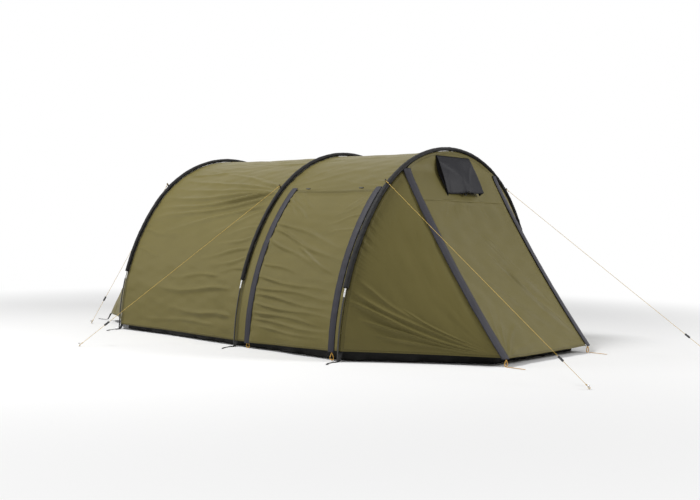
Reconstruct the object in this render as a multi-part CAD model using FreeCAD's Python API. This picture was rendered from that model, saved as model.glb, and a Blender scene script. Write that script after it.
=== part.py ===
"""Three-hoop tunnel tent: fibreglass hoops in sleeves, a nylon fly with a slanted porch, a door on each side,
a front door, a propped vent, an inner cabin, mud skirt, webbing feet and six guylines.

Frame: +Z up, the porch faces -Y, origin on the ground at the middle of the tent. Millimetres.
Every hoop is the same plane curve: a crown arc about the middle and a haunch arc on each side that
stands upright where it meets the ground. Places on a hoop are given by an angle from the top, 0 at the
ridge, positive to the right, and by an offset outwards from the pole's centreline.
"""
import FreeCAD, Part
import math
import os
from FreeCAD import Vector

# ---- driving dimensions -------------------------------------------------------------------------------
HOOP_HEIGHT = 1300.0           # ground to the pole's centreline at the ridge
CROWN_RADIUS = 935.0
CROWN_ANGLE = 52.0             # the crown arc ends here, on each side
FRONT_HOOP_Y = -1020.0
MIDDLE_HOOP_Y = -108.0
REAR_HOOP_Y = 1179.0
HOOPS = {"front": FRONT_HOOP_Y, "middle": MIDDLE_HOOP_Y, "rear": REAR_HOOP_Y}
SIDES = {"left": -1, "right": 1}

FRONT_HEM_Y = -1780.0          # front door's lower edge
FRONT_CORNER_X = 473.0
REAR_HEM_Y = 1730.0
REAR_CORNER_X = 770.0
HEM_Z = 60.0
HALF_LENGTH = 1915.0           # ends of the strap tails, fore and aft

POLE_RADIUS = 4.25
PIN_BORE = 2.4
END_SECTION = 402.0            # arc length of the lowest pole section
SECTIONS = 8
FERRULE_LENGTH = 52.0
FERRULE_BORE = 4.35
FERRULE_RADIUS = 5.4
SLEEVE_RADIUS = 13.0
SLEEVE_BORE = 11.5
SLEEVE_END_Z = 425.0

FLY_OFFSET = -14.0             # outer face of the fly, from the pole's centreline
FLY_WALL = 3.0
DOOR_SEAM_Z = 1010.0           # top seam of each side door
GAP = 2.0                      # between a door's edge and what it closes against
SIDE_ZIP_YS = {"rear": -218.0, "front": -954.0}
FLAP_HALF_WIDTH = 22.0
FLAP_WALL = 2.5

APRON_Z = 965.0                # front door's hinge line, just under the vent
PORCH_WALL = 4.0               # measured along Y
PORCH_STEP = 4.5               # porch cloth starts this far in front of the hoop
FRONT_ZIP_X = 461.0
FRONT_DOOR_HALF = 448.0

INNER_OFFSET = -118.0
INNER_WALL = 3.0
INNER_FRONT_Y = -30.0
INNER_DOOR_HALF = 400.0
INNER_DOOR_TOP = 880.0
TUB_HEIGHT = 110.0

SKIRT_TOP_Z = 72.0
SKIRT_WALL = 3.0
CORD_RADIUS = 1.25
TAB_ANGLE = {"front": 43.4, "middle": 45.0, "rear": 42.0}
TAB_REACH = 36.0
# where each pair of guylines is pegged: distance from the middle, and along the tent
ANCHORS = {"front": (796.0, -2475.0), "middle": (1800.0, 506.0), "rear": (1000.0, 1640.0)}
ANCHOR_Z = 9.0
RUNNER_FROM_PEG = 205.0

HAUNCH_RADIUS = CROWN_RADIUS + (HOOP_HEIGHT - CROWN_RADIUS) / math.cos(math.radians(CROWN_ANGLE))
CROWN_CENTRE_Z = HOOP_HEIGHT - CROWN_RADIUS
HAUNCH_CENTRE_X = (HAUNCH_RADIUS - CROWN_RADIUS) * math.sin(math.radians(CROWN_ANGLE))
FOOT_X = HAUNCH_RADIUS - HAUNCH_CENTRE_X
OUTER = FLY_OFFSET
INNER_FACE = FLY_OFFSET - FLY_WALL

os.makedirs("parts", exist_ok=True)


# ---- the hoop curve -----------------------------------------------------------------------------------
def arc_of(angle):
    """Centre x, centre z and radius of the arc that holds this angle."""
    if abs(angle) <= CROWN_ANGLE:
        return 0.0, CROWN_CENTRE_Z, CROWN_RADIUS
    return -math.copysign(HAUNCH_CENTRE_X, angle), 0.0, HAUNCH_RADIUS


def hoop_point(angle, offset=0.0, y=0.0):
    cx, cz, radius = arc_of(angle)
    a = math.radians(angle)
    return Vector(cx + (radius + offset) * math.sin(a), y, cz + (radius + offset) * math.cos(a))


def angle_at_z(z, offset=0.0):
    """The angle, on the right, where the offset curve is at this height."""
    haunch = math.degrees(math.acos(z / (HAUNCH_RADIUS + offset)))
    if haunch >= CROWN_ANGLE:
        return haunch
    return math.degrees(math.acos((z - CROWN_CENTRE_Z) / (CROWN_RADIUS + offset)))


def angle_at_length(length):
    """The angle at this arc length up the pole from the ground on the right."""
    haunch_length = HAUNCH_RADIUS * math.radians(90 - CROWN_ANGLE)
    if length <= haunch_length:
        return 90 - math.degrees(length / HAUNCH_RADIUS)
    return CROWN_ANGLE - math.degrees((length - haunch_length) / CROWN_RADIUS)


def spans(start, end):
    """Split a stretch of the hoop, from one angle up to a larger one, where the arcs change."""
    cuts = [start] + [c for c in (-CROWN_ANGLE, CROWN_ANGLE) if start < c < end] + [end]
    return list(zip(cuts[:-1], cuts[1:]))


def hoop_edges(start, end, offset, y):
    edges = []
    for a, b in spans(start, end):
        middle = (a + b) / 2
        cx, cz, radius = arc_of(middle)
        points = []
        for angle in (a, middle, b):
            t = math.radians(angle)
            points.append(Vector(cx + (radius + offset) * math.sin(t), y, cz + (radius + offset) * math.cos(t)))
        edges.append(Part.Arc(*points).toShape())
    return edges


def band(start, end, outer, inner, y0, y1):
    """A curved sheet with its thickness: the strip between two offset curves, drawn along Y."""
    out_edges = hoop_edges(start, end, outer, y0)
    in_edges = hoop_edges(start, end, inner, y0)
    ends = [Part.LineSegment(hoop_point(a, outer, y0), hoop_point(a, inner, y0)).toShape() for a in (start, end)]
    wire = Part.Wire(Part.__sortEdges__(out_edges + in_edges + ends))
    return Part.Face(wire).extrude(Vector(0, y1 - y0, 0))


def tube(start, end, radius, bore, y, offset=0.0):
    """A round rod or tube bent along the hoop."""
    pieces = []
    for a, b in spans(start, end):
        middle = (a + b) / 2
        cx, cz, arc_radius = arc_of(middle)
        t = math.radians(a)
        centre = Vector(cx + (arc_radius + offset) * math.sin(t), y, cz + (arc_radius + offset) * math.cos(t))
        along = Vector(math.cos(t), 0, -math.sin(t))
        face = Part.Face(Part.Wire(Part.makeCircle(radius, centre, along)))
        if bore:
            face = face.cut(Part.Face(Part.Wire(Part.makeCircle(bore, centre, along)))).Faces[0]
        pieces.append(face.revolve(Vector(cx, y, cz), Vector(0, 1, 0), b - a))
    return join(pieces)


# ---- general helpers ----------------------------------------------------------------------------------
def join(pieces):
    if len(pieces) == 1:
        return pieces[0]
    return pieces[0].multiFuse(pieces[1:]).removeSplitter()


def box(x0, x1, y0, y1, z0, z1):
    low = Vector(min(x0, x1), min(y0, y1), min(z0, z1))
    return Part.makeBox(abs(x1 - x0), abs(y1 - y0), abs(z1 - z0), low)


def plate(corners, thickness):
    """A flat sheet with these corners, given its thickness along a vector."""
    return Part.Face(Part.makePolygon([Vector(*c) for c in corners] + [Vector(*corners[0])])).extrude(thickness)


def ruled(edge_a, edge_b, thickness):
    return Part.makeRuledSurface(edge_a, edge_b).extrude(thickness)


def rod(start, end, radius):
    return Part.makeCylinder(radius, (end - start).Length, start, end - start)


def mirror(shape):
    return shape.mirror(Vector(0, 0, 0), Vector(1, 0, 0))


def on_side(shape, side):
    """Shapes are drawn on the right; the left one is its mirror image."""
    return mirror(shape) if side < 0 else shape


def both(shape):
    return [shape, mirror(shape)]


def save(name, shapes):
    solids = []
    for shape in shapes if isinstance(shapes, list) else [shapes]:
        solids += shape.Solids
    result = solids[0] if len(solids) == 1 else Part.makeCompound(solids)
    for solid in solids:
        if not solid.isValid() or solid.Volume <= 0:
            print("BAD SOLID in", name)
    result.exportStep("parts/" + name + ".step")
    bounds = result.BoundBox
    print(f"{name:28s} {len(solids):3d} solids  x {bounds.XMin:8.1f} {bounds.XMax:8.1f}  "
          f"y {bounds.YMin:8.1f} {bounds.YMax:8.1f}  z {bounds.ZMin:7.1f} {bounds.ZMax:7.1f}")
    return result


# ---- hoop poles, ferrules, sleeves --------------------------------------------------------------------
POLE_BOTTOM_Z = 4.0
HALF_POLE = (HAUNCH_RADIUS * math.radians(90 - CROWN_ANGLE) + CROWN_RADIUS * math.radians(CROWN_ANGLE))
MIDDLE_SECTION = (2 * HALF_POLE - 2 * END_SECTION) / (SECTIONS - 2)
HALF_JOINT_GAP = 0.4           # between two section ends, inside a ferrule


def joint_lengths():
    """Arc length from the right foot to each joint between two pole sections."""
    return [END_SECTION + i * MIDDLE_SECTION for i in range(SECTIONS - 1)]


def signed_angle(length):
    """Angle at an arc length from the right foot, past the ridge as well."""
    if length <= HALF_POLE:
        return angle_at_length(length)
    return -angle_at_length(2 * HALF_POLE - length)


def pole(y):
    stops = [POLE_BOTTOM_Z] + joint_lengths() + [2 * HALF_POLE - POLE_BOTTOM_Z]
    sections = []
    for i, (low, high) in enumerate(zip(stops[:-1], stops[1:])):
        low += HALF_JOINT_GAP if i else 0
        high -= HALF_JOINT_GAP if i < SECTIONS - 1 else 0
        section = tube(signed_angle(high), signed_angle(low), POLE_RADIUS, 0, y)
        if i in (0, SECTIONS - 1):
            side = 1 if i == 0 else -1
            bore = Part.makeCylinder(PIN_BORE, 32, Vector(side * FOOT_X, y, 0), Vector(0, 0, 1))
            section = section.cut(bore)
        sections.append(section)
    return sections


def ferrules(y):
    half = FERRULE_LENGTH / 2
    return [tube(signed_angle(s + half), signed_angle(s - half), FERRULE_RADIUS, FERRULE_BORE, y)
            for s in joint_lengths()]


SLEEVE_END = angle_at_z(SLEEVE_END_Z)
for hoop, hoop_y in HOOPS.items():
    save(hoop + "_pole", pole(hoop_y))
    save(hoop + "_pole_ferrules", ferrules(hoop_y))
    save(hoop + "_pole_sleeve", tube(-SLEEVE_END, SLEEVE_END, SLEEVE_RADIUS, SLEEVE_BORE, hoop_y))


# ---- feet: webbing tab, pin and ring, pull strap ------------------------------------------------------
TAB_WALL = 2.5
PIN_RADIUS = 2.2
RING_MAJOR, RING_MINOR = 8.0, 1.4
STRAP_BEND = 130.0
STRAP_HALF_WIDTH = 6.0
STRAP_WALL = 1.6


TAB_TOP_X, TAB_TOP_HALF, TAB_TOP_Z = 1020.0, 16.0, 84.0
TAB_BEND_X, TAB_HALF, TAB_END_X = 1049.0, 12.0, 1094.0
TAB_Z = 0.6                    # the flat end of the tab lies this far off the ground


def foot_tab(y):
    """Webbing from under the fly's hem down to the pole's foot, then flat along the ground."""
    hanging = plate([(TAB_TOP_X, y - TAB_TOP_HALF, TAB_TOP_Z), (TAB_TOP_X, y + TAB_TOP_HALF, TAB_TOP_Z),
                     (TAB_BEND_X, y + TAB_HALF, TAB_Z), (TAB_BEND_X, y - TAB_HALF, TAB_Z)], Vector(TAB_WALL, 0, 0))
    flat = box(TAB_BEND_X - 1, TAB_END_X, y - TAB_HALF, y + TAB_HALF, TAB_Z, TAB_Z + TAB_WALL)
    hole = Part.makeCylinder(PIN_RADIUS + 0.3, 10, Vector(FOOT_X, y, -1))
    return join([hanging, flat]).cut(hole)


def pin_and_ring(y):
    pin = Part.makeCylinder(PIN_RADIUS, 28, Vector(FOOT_X, y, 0.8))
    ring = Part.makeTorus(RING_MAJOR, RING_MINOR, Vector(1083, y, 3.3 + RING_MINOR))
    return [pin, ring]


def pull_strap(y):
    """A tail of webbing on the ground, from the ring outwards and bending forwards."""
    centre = Vector(1096, y - STRAP_BEND, 0.4)
    swing = 46
    outer = Part.makeCylinder(STRAP_BEND + STRAP_HALF_WIDTH, STRAP_WALL, centre, Vector(0, 0, 1), swing)
    inner = Part.makeCylinder(STRAP_BEND - STRAP_HALF_WIDTH, STRAP_WALL, centre, Vector(0, 0, 1), swing)
    tail = outer.cut(inner)
    tail.rotate(centre, Vector(0, 0, 1), 90 - swing)
    return tail


save("foot_webbing_tabs", [s for y in HOOPS.values() for s in both(foot_tab(y))])
save("foot_pins_and_rings", [m for y in HOOPS.values() for s in pin_and_ring(y) for m in both(s)])
save("foot_pull_straps", [s for y in HOOPS.values() for s in both(pull_strap(y))])

# ---- fly over the two bays ----------------------------------------------------------------------------
HEM = angle_at_z(HEM_Z, OUTER)
SEAM = angle_at_z(DOOR_SEAM_Z, OUTER)
save("rear_bay_fly", band(-HEM, HEM, OUTER, INNER_FACE, MIDDLE_HOOP_Y, REAR_HOOP_Y))

STRIP_FROM_ZIP = 12.0
STRIP_EDGES = {"rear": SIDE_ZIP_YS["rear"] + STRIP_FROM_ZIP, "front": SIDE_ZIP_YS["front"] - STRIP_FROM_ZIP}
DOOR_EDGES = {"rear": SIDE_ZIP_YS["rear"] - FLAP_HALF_WIDTH, "front": SIDE_ZIP_YS["front"] + FLAP_HALF_WIDTH}


def door_bay_roof():
    pieces = [band(-SEAM, SEAM, OUTER, INNER_FACE, FRONT_HOOP_Y, MIDDLE_HOOP_Y)]
    for y0, y1 in ((STRIP_EDGES["rear"], MIDDLE_HOOP_Y), (FRONT_HOOP_Y, STRIP_EDGES["front"])):
        pieces += both(band(SEAM, HEM, OUTER, INNER_FACE, y0, y1))
    return join(pieces)


def side_door():
    start = SEAM + math.degrees(GAP / CROWN_RADIUS)
    return band(start, HEM, OUTER, INNER_FACE, DOOR_EDGES["front"], DOOR_EDGES["rear"])


def side_flap(zip_y):
    low = zip_y - FLAP_HALF_WIDTH + GAP / 2
    high = zip_y + FLAP_HALF_WIDTH - GAP / 2
    return band(SEAM - 1.5, HEM + 0.4, OUTER + FLAP_WALL, OUTER, low, high)


COIL_HALF_WIDTH = 3.0
COIL_DEPTH, COIL_WALL = 2.2, 1.6    # how far the coil lies inside the fly's outer face, and how thick it is


def side_zip(zip_y):
    return band(SEAM + 0.5, HEM - 0.2, OUTER - COIL_DEPTH, OUTER - COIL_DEPTH - COIL_WALL,
                zip_y - COIL_HALF_WIDTH, zip_y + COIL_HALF_WIDTH)


save("door_bay_roof", door_bay_roof())
for side_name, side in SIDES.items():
    save(side_name + "_side_door", on_side(side_door(), side))
save("side_door_storm_flaps", [s for y in SIDE_ZIP_YS.values() for s in both(side_flap(y))])
save("side_door_zips", [s for y in SIDE_ZIP_YS.values() for s in both(side_zip(y))])

# ---- zip sliders of the side doors --------------------------------------------------------------------
SLIDER_ANGLE = 85.6
SLIDER_HALF_SPAN = 0.42        # degrees of the haunch arc
SLIDER_HALF_WIDTH = 6.0
CHANNEL_HALF_WIDTH = 3.6
PULL_SPAN = 1.5                # degrees that the pull tab hangs down the zip


def side_slider(zip_y):
    """A slider round the coil, with its pull tab hanging inside."""
    a0, a1 = SLIDER_ANGLE - SLIDER_HALF_SPAN, SLIDER_ANGLE + SLIDER_HALF_SPAN
    body = band(a0, a1, OUTER - 0.7, OUTER - 7.5, zip_y - SLIDER_HALF_WIDTH, zip_y + SLIDER_HALF_WIDTH)
    channel = band(a0 - 1, a1 + 1, OUTER - 1.8, OUTER - 4.4, zip_y - CHANNEL_HALF_WIDTH, zip_y + CHANNEL_HALF_WIDTH)
    pull = band(SLIDER_ANGLE, SLIDER_ANGLE + PULL_SPAN, OUTER - 7.5, OUTER - 9.5,
                zip_y - COIL_HALF_WIDTH, zip_y + COIL_HALF_WIDTH)
    return join([body.cut(channel), pull])


for side_name, side in SIDES.items():
    for place, zip_y in SIDE_ZIP_YS.items():
        save(side_name + "_" + place + "_zip_slider", on_side(side_slider(zip_y), side))

# ---- door ties: toggle and loop above each side door --------------------------------------------------
TIE_YS = (-356.0, -821.0)
STUB_LENGTH, STUB_RADIUS = 9.0, 2.2
TOGGLE_HALF, TOGGLE_RADIUS = 16.0, 4.0


def door_tie(y):
    """A short toggle on a stub of webbing, sewn to the top seam."""
    root = hoop_point(SEAM - 0.6, OUTER + 0.2, y)
    outward = Vector(math.sin(math.radians(SEAM)), 0, math.cos(math.radians(SEAM)))
    tip = root + outward * STUB_LENGTH
    stub = rod(root, tip, STUB_RADIUS)
    toggle = rod(tip - Vector(0, TOGGLE_HALF, 0), tip + Vector(0, TOGGLE_HALF, 0), TOGGLE_RADIUS)
    return join([stub, toggle])


save("door_tie_toggles", [s for y in TIE_YS for s in both(door_tie(y))])

# ---- porch: gable apron, front door, side panels ------------------------------------------------------
PORCH_TOP_Y = FRONT_HOOP_Y - PORCH_STEP
GABLE_ANGLE = math.degrees(math.asin(FRONT_CORNER_X / (CROWN_RADIUS + OUTER)))
GABLE_Z = hoop_point(GABLE_ANGLE, OUTER).z
CORNER_Z = 50.0
SLOPE = (FRONT_HEM_Y - PORCH_TOP_Y) / (CORNER_Z - GABLE_Z)     # change of y per unit of height
PORCH_DEPTH_VECTOR = Vector(0, PORCH_WALL, 0)


def porch_y(z):
    """The front sheet's outer face, a plane through both zips."""
    return PORCH_TOP_Y + SLOPE * (z - GABLE_Z)


def slope_plate(x0, x1, z_top, z_bottom, y_shift=0.0, wall=PORCH_WALL):
    top, bottom = porch_y(z_top) + y_shift, porch_y(z_bottom) + y_shift
    corners = [(x0, top, z_top), (x1, top, z_top), (x1, bottom, z_bottom), (x0, bottom, z_bottom)]
    return plate(corners, Vector(0, wall, 0))


VENT_HALF = 120.0
VENT_TOP_Z, VENT_BOTTOM_Z = 1135.0, 1015.0


def front_apron():
    """The fixed top of the front: an upright gable under the crown, then the first of the slope."""
    edges = hoop_edges(-GABLE_ANGLE, GABLE_ANGLE, OUTER, PORCH_TOP_Y)
    chord = Part.LineSegment(hoop_point(GABLE_ANGLE, OUTER, PORCH_TOP_Y),
                             hoop_point(-GABLE_ANGLE, OUTER, PORCH_TOP_Y)).toShape()
    gable = Part.Face(Part.Wire(edges + [chord])).extrude(PORCH_DEPTH_VECTOR)
    slope = slope_plate(-FRONT_CORNER_X, FRONT_CORNER_X, GABLE_Z, APRON_Z + GAP)
    window = box(-VENT_HALF, VENT_HALF, -1500, -900, VENT_BOTTOM_Z, VENT_TOP_Z)
    return join([gable, slope]).cut(window)


def front_door():
    return slope_plate(-FRONT_DOOR_HALF, FRONT_DOOR_HALF, APRON_Z, CORNER_Z)


def porch_panel():
    """A cone whose point is the front corner, over the hoop from the zip down to the hem."""
    corner = Vector(FRONT_CORNER_X, FRONT_HEM_Y, CORNER_Z)
    return cone_panel(corner, GABLE_ANGLE, HEM, OUTER, PORCH_TOP_Y, PORCH_DEPTH_VECTOR)


def cone_panel(corner, start, end, offset, y, thickness):
    tip = 0.02                 # the cone stops just short of its point
    pieces = []
    for edge in hoop_edges(start, end, offset, y):
        small = edge.copy()
        small.scale(tip, corner)
        pieces.append(ruled(edge, small, thickness))
    return join(pieces)


save("front_apron", front_apron())
save("front_door", front_door())
for side_name, side in SIDES.items():
    save(side_name + "_porch_panel", on_side(porch_panel(), side))

# front storm flaps, zips and sliders
FLAP_OUTER_X = 494.0
FLAP_TOP_Z = 1122.0
FRONT_FLAP_WALL = 3.0
front_flap = slope_plate(FRONT_DOOR_HALF + GAP, FLAP_OUTER_X, FLAP_TOP_Z, CORNER_Z - 6, -3.4, FRONT_FLAP_WALL)
save("front_storm_flaps", both(front_flap))
COIL_EDGES = (FRONT_ZIP_X - COIL_HALF_WIDTH, FRONT_ZIP_X + COIL_HALF_WIDTH)
front_zip = slope_plate(*COIL_EDGES, APRON_Z - 4, CORNER_Z + 4, 2.0, 2.0)
save("front_door_zips", both(front_zip))

SLIDER_Z = 78.0
SLIDER_HALF_HEIGHT = 10.0
PULL_LENGTH = 38.0


def front_slider():
    top, bottom = SLIDER_Z + SLIDER_HALF_HEIGHT, SLIDER_Z - SLIDER_HALF_HEIGHT
    body = slope_plate(FRONT_ZIP_X - SLIDER_HALF_WIDTH, FRONT_ZIP_X + SLIDER_HALF_WIDTH, top, bottom, 0.6, 9.0)
    channel = slope_plate(FRONT_ZIP_X - CHANNEL_HALF_WIDTH, FRONT_ZIP_X + CHANNEL_HALF_WIDTH,
                          top + 5, bottom - 5, 1.5, 3.0)
    pull = slope_plate(*COIL_EDGES, SLIDER_Z, SLIDER_Z - PULL_LENGTH, 9.6, 2.4)
    return join([body.cut(channel), pull])


for side_name, side in SIDES.items():
    save(side_name + "_front_door_slider", on_side(front_slider(), side))

# ---- vent: mesh window, propped hood, strut -----------------------------------------------------------
HOOD_TOP_Z = 1250.0
HOOD_TOP_Y = PORCH_TOP_Y - 8.0
HOOD_LIP_Z = 1016.0
HOOD_LIP_Y = porch_y(HOOD_LIP_Z) - 62.0
HOOD_TOP_HALF, HOOD_LIP_HALF = 178.0, 168.0
HOOD_WALL = 3.0
HOOD_GUSSET_GAP = 14.0
STRUT_Z = 1000.0

mesh_window = slope_plate(-VENT_HALF - 10, VENT_HALF + 10, VENT_TOP_Z + 10, VENT_BOTTOM_Z - 10, PORCH_WALL + 0.3, 1.5)
save("vent_mesh", mesh_window)


def vent_hood():
    corners = [(-HOOD_TOP_HALF, HOOD_TOP_Y, HOOD_TOP_Z), (HOOD_TOP_HALF, HOOD_TOP_Y, HOOD_TOP_Z),
               (HOOD_LIP_HALF, HOOD_LIP_Y, HOOD_LIP_Z), (-HOOD_LIP_HALF, HOOD_LIP_Y, HOOD_LIP_Z)]
    flap = plate(corners, Vector(0, HOOD_WALL, 0))
    back_y = porch_y(HOOD_LIP_Z) - HOOD_GUSSET_GAP
    gusset = plate([(HOOD_LIP_HALF, HOOD_LIP_Y + 1, HOOD_LIP_Z), (HOOD_LIP_HALF, back_y, HOOD_LIP_Z - 20),
                    (HOOD_LIP_HALF, porch_y(1140) - HOOD_GUSSET_GAP, 1140.0)], Vector(-HOOD_WALL, 0, 0))
    return join([flap] + both(gusset))


def vent_strut():
    """A stiff batten that pushes the hood's lip away from the front."""
    base = Vector(0, porch_y(STRUT_Z) - 6.5, STRUT_Z)
    tip = Vector(0, HOOD_LIP_Y + 9, HOOD_LIP_Z + 8)
    return join([rod(base, tip, 3.5), rod(base + Vector(-9, 0, 0), base + Vector(9, 0, 0), 4.5)])


save("vent_hood", vent_hood())
save("vent_strut", vent_strut())

# ---- rear end -----------------------------------------------------------------------------------------
REAR_TOP_Y = REAR_HOOP_Y + PORCH_STEP


def end_sheet(top_y, hem_y, corner_x, offset, hem_angle, wall):
    """The sloping end: a ruled sheet under the crown and a cone at each side."""
    thickness = Vector(0, -wall, 0)
    corner = Vector(corner_x, hem_y, HEM_Z)
    bottom = Part.LineSegment(mirror_point(corner), corner).toShape()
    middle = ruled(hoop_edges(-CROWN_ANGLE, CROWN_ANGLE, offset, top_y)[0], bottom, thickness)
    side = cone_panel(corner, CROWN_ANGLE, hem_angle, offset, top_y, thickness)
    return [middle] + both(side)


def mirror_point(point):
    return Vector(-point.x, point.y, point.z)


save("rear_panel", join(end_sheet(REAR_TOP_Y, REAR_HEM_Y, REAR_CORNER_X, OUTER, HEM, PORCH_WALL)))

# ---- mud skirt and porch groundsheet ------------------------------------------------------------------
SKIRT_REAR_Y = 1095.0
SKIRT_LOW_X, SKIRT_HIGH_X = 955.0, 1020.0
SKIRT_LINES = {                # each corner of the skirt: its lower point, then its upper point
    "rear": ((SKIRT_LOW_X, SKIRT_REAR_Y, 0.0), (SKIRT_HIGH_X, SKIRT_REAR_Y, SKIRT_TOP_Z)),
    "hoop": ((SKIRT_LOW_X, FRONT_HOOP_Y, 0.0), (SKIRT_HIGH_X, FRONT_HOOP_Y, SKIRT_TOP_Z)),
    "corner": ((418.0, -1690.0, 0.0), (432.0, -1735.0, SKIRT_TOP_Z)),
}


def skirt_run(name_a, name_b, thickness):
    low = Part.LineSegment(Vector(*SKIRT_LINES[name_a][0]), Vector(*SKIRT_LINES[name_b][0])).toShape()
    high = Part.LineSegment(Vector(*SKIRT_LINES[name_a][1]), Vector(*SKIRT_LINES[name_b][1])).toShape()
    return ruled(low, high, thickness)


def mud_skirt():
    runs = both(skirt_run("rear", "hoop", Vector(-SKIRT_WALL, 0, 0)))
    runs += both(skirt_run("hoop", "corner", Vector(-SKIRT_WALL, SKIRT_WALL, 0)))
    low, high = (Vector(*p) for p in SKIRT_LINES["corner"])
    runs.append(plate([(-low.x, low.y, low.z), (low.x, low.y, low.z), (high.x, high.y, high.z),
                       (-high.x, high.y, high.z)], Vector(0, SKIRT_WALL, 0)))
    return join(runs)


save("mud_skirt", mud_skirt())
SHEET_HALF, SHEET_CORNER_X = 945.0, 408.0
SHEET_REAR_Y, SHEET_HOOP_Y, SHEET_FRONT_Y = -95.0, -1010.0, -1680.0
SHEET_WALL = 2.5
porch_outline = [(-SHEET_HALF, SHEET_REAR_Y, 0), (SHEET_HALF, SHEET_REAR_Y, 0), (SHEET_HALF, SHEET_HOOP_Y, 0),
                 (SHEET_CORNER_X, SHEET_FRONT_Y, 0), (-SHEET_CORNER_X, SHEET_FRONT_Y, 0),
                 (-SHEET_HALF, SHEET_HOOP_Y, 0)]
save("porch_groundsheet", plate(porch_outline, Vector(0, 0, SHEET_WALL)))

# ---- inner cabin --------------------------------------------------------------------------------------
INNER_REAR_TOP_Y = REAR_HOOP_Y - 20
INNER_REAR_HEM_Y = REAR_HEM_Y - 90
INNER_CORNER_X = REAR_CORNER_X - 70
INNER_HEM = angle_at_z(TUB_HEIGHT, INNER_OFFSET)


def inner_cabin():
    inner_face = INNER_OFFSET - INNER_WALL
    shell = band(-INNER_HEM, INNER_HEM, INNER_OFFSET, inner_face, INNER_FRONT_Y, INNER_REAR_TOP_Y)
    edges = hoop_edges(-INNER_HEM, INNER_HEM, INNER_OFFSET, INNER_FRONT_Y - INNER_WALL)
    hem = Part.LineSegment(hoop_point(INNER_HEM, INNER_OFFSET, INNER_FRONT_Y - INNER_WALL),
                           hoop_point(-INNER_HEM, INNER_OFFSET, INNER_FRONT_Y - INNER_WALL)).toShape()
    wall = Part.Face(Part.Wire(Part.__sortEdges__(edges + [hem]))).extrude(Vector(0, INNER_WALL, 0))
    return join([shell, wall.cut(inner_door_cutter(0))])


def inner_door_cutter(inset, y0=-100, y1=50):
    """The arched doorway: straight sides under a half-round top."""
    half = INNER_DOOR_HALF - inset
    spring = INNER_DOOR_TOP - INNER_DOOR_HALF
    low = TUB_HEIGHT + 12 + inset
    arch = Part.Arc(Vector(-half, y0, spring), Vector(0, y0, spring + half), Vector(half, y0, spring)).toShape()
    frame = Part.makePolygon([Vector(half, y0, spring), Vector(half, y0, low), Vector(-half, y0, low),
                              Vector(-half, y0, spring)])
    return Part.Face(Part.Wire([arch] + frame.Edges)).extrude(Vector(0, y1 - y0, 0))


def inner_rear():
    thickness = Vector(0, -INNER_WALL, 0)
    corner = Vector(INNER_CORNER_X, INNER_REAR_HEM_Y, TUB_HEIGHT)
    bottom = Part.LineSegment(mirror_point(corner), corner).toShape()
    top_y = INNER_REAR_TOP_Y + PORCH_STEP
    middle = ruled(hoop_edges(-CROWN_ANGLE, CROWN_ANGLE, INNER_OFFSET, top_y)[0], bottom, thickness)
    side = cone_panel(corner, CROWN_ANGLE, INNER_HEM, INNER_OFFSET, top_y, thickness)
    return join([middle] + both(side))


def tub_outline(inset, z):
    side_x = hoop_point(INNER_HEM, INNER_OFFSET).x - 4 - inset
    return [(-side_x, INNER_FRONT_Y + inset, z), (side_x, INNER_FRONT_Y + inset, z), (side_x, INNER_REAR_TOP_Y, z),
            (INNER_CORNER_X - inset, INNER_REAR_HEM_Y - 4 - inset, z),
            (-INNER_CORNER_X + inset, INNER_REAR_HEM_Y - 4 - inset, z), (-side_x, INNER_REAR_TOP_Y, z)]


def inner_tub():
    outer = plate(tub_outline(0, 0), Vector(0, 0, TUB_HEIGHT - 2))
    return outer.cut(plate(tub_outline(INNER_WALL, SHEET_WALL), Vector(0, 0, TUB_HEIGHT)))


save("inner_cabin", inner_cabin())
save("inner_rear_wall", inner_rear())
save("inner_tub_floor", inner_tub())
save("inner_door", inner_door_cutter(3, INNER_FRONT_Y - INNER_WALL, INNER_FRONT_Y))

HANGER_ANGLES = (-60, -30, 0, 30, 60)
HANGER_YS = (20.0, 600.0, 1120.0)
HANGER_RADIUS = 2.5


def hangers():
    """Elastic stubs with toggles that hold the cabin up under the fly."""
    stubs = []
    for y in HANGER_YS:
        for angle in HANGER_ANGLES:
            low, high = hoop_point(angle, INNER_OFFSET + 0.5, y), hoop_point(angle, INNER_FACE - 0.5, y)
            stubs.append(rod(low, high, HANGER_RADIUS))
    return stubs


save("inner_hangers", hangers())

# ---- peg loops and corner straps ----------------------------------------------------------------------
def peg_loop(x, y, z_top, across):
    """An elastic loop that hangs from the hem and touches the ground."""
    major, minor = (z_top - 0.6) / 2 - 1.6, 1.6
    return Part.makeTorus(major, minor, Vector(x, y, 0.6 + major + minor), across)


def ground_tail(x, y0, y1, half_width):
    return box(x - half_width, x + half_width, y0, y1, 0.5, 2.1)


hem_x = hoop_point(HEM, OUTER).x
side_loops = [peg_loop(hem_x - 6, y, 42.0, Vector(1, 0, 0)) for y in SIDE_ZIP_YS.values()]
front_loop = peg_loop(FRONT_CORNER_X, FRONT_HEM_Y - 2, 40.0, Vector(0, 1, 0))
save("elastic_peg_loops", [s for loop in side_loops + [front_loop] for s in both(loop)])
front_tail = ground_tail(FRONT_CORNER_X + 8, -HALF_LENGTH, FRONT_HEM_Y - 12, 5)
save("front_corner_straps", both(front_tail))
rear_drop = plate([(REAR_CORNER_X - 12, REAR_HEM_Y + 4, HEM_Z - 4), (REAR_CORNER_X + 4, REAR_HEM_Y + 4, HEM_Z - 4),
                   (REAR_CORNER_X - 2, REAR_HEM_Y + 58, 2.2), (REAR_CORNER_X - 14, REAR_HEM_Y + 58, 2.2)],
                  Vector(0, 3, 0))
rear_tail = ground_tail(REAR_CORNER_X - 8, REAR_HEM_Y + 61, HALF_LENGTH, 5)
save("rear_corner_straps", both(rear_drop) + both(rear_tail))

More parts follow.
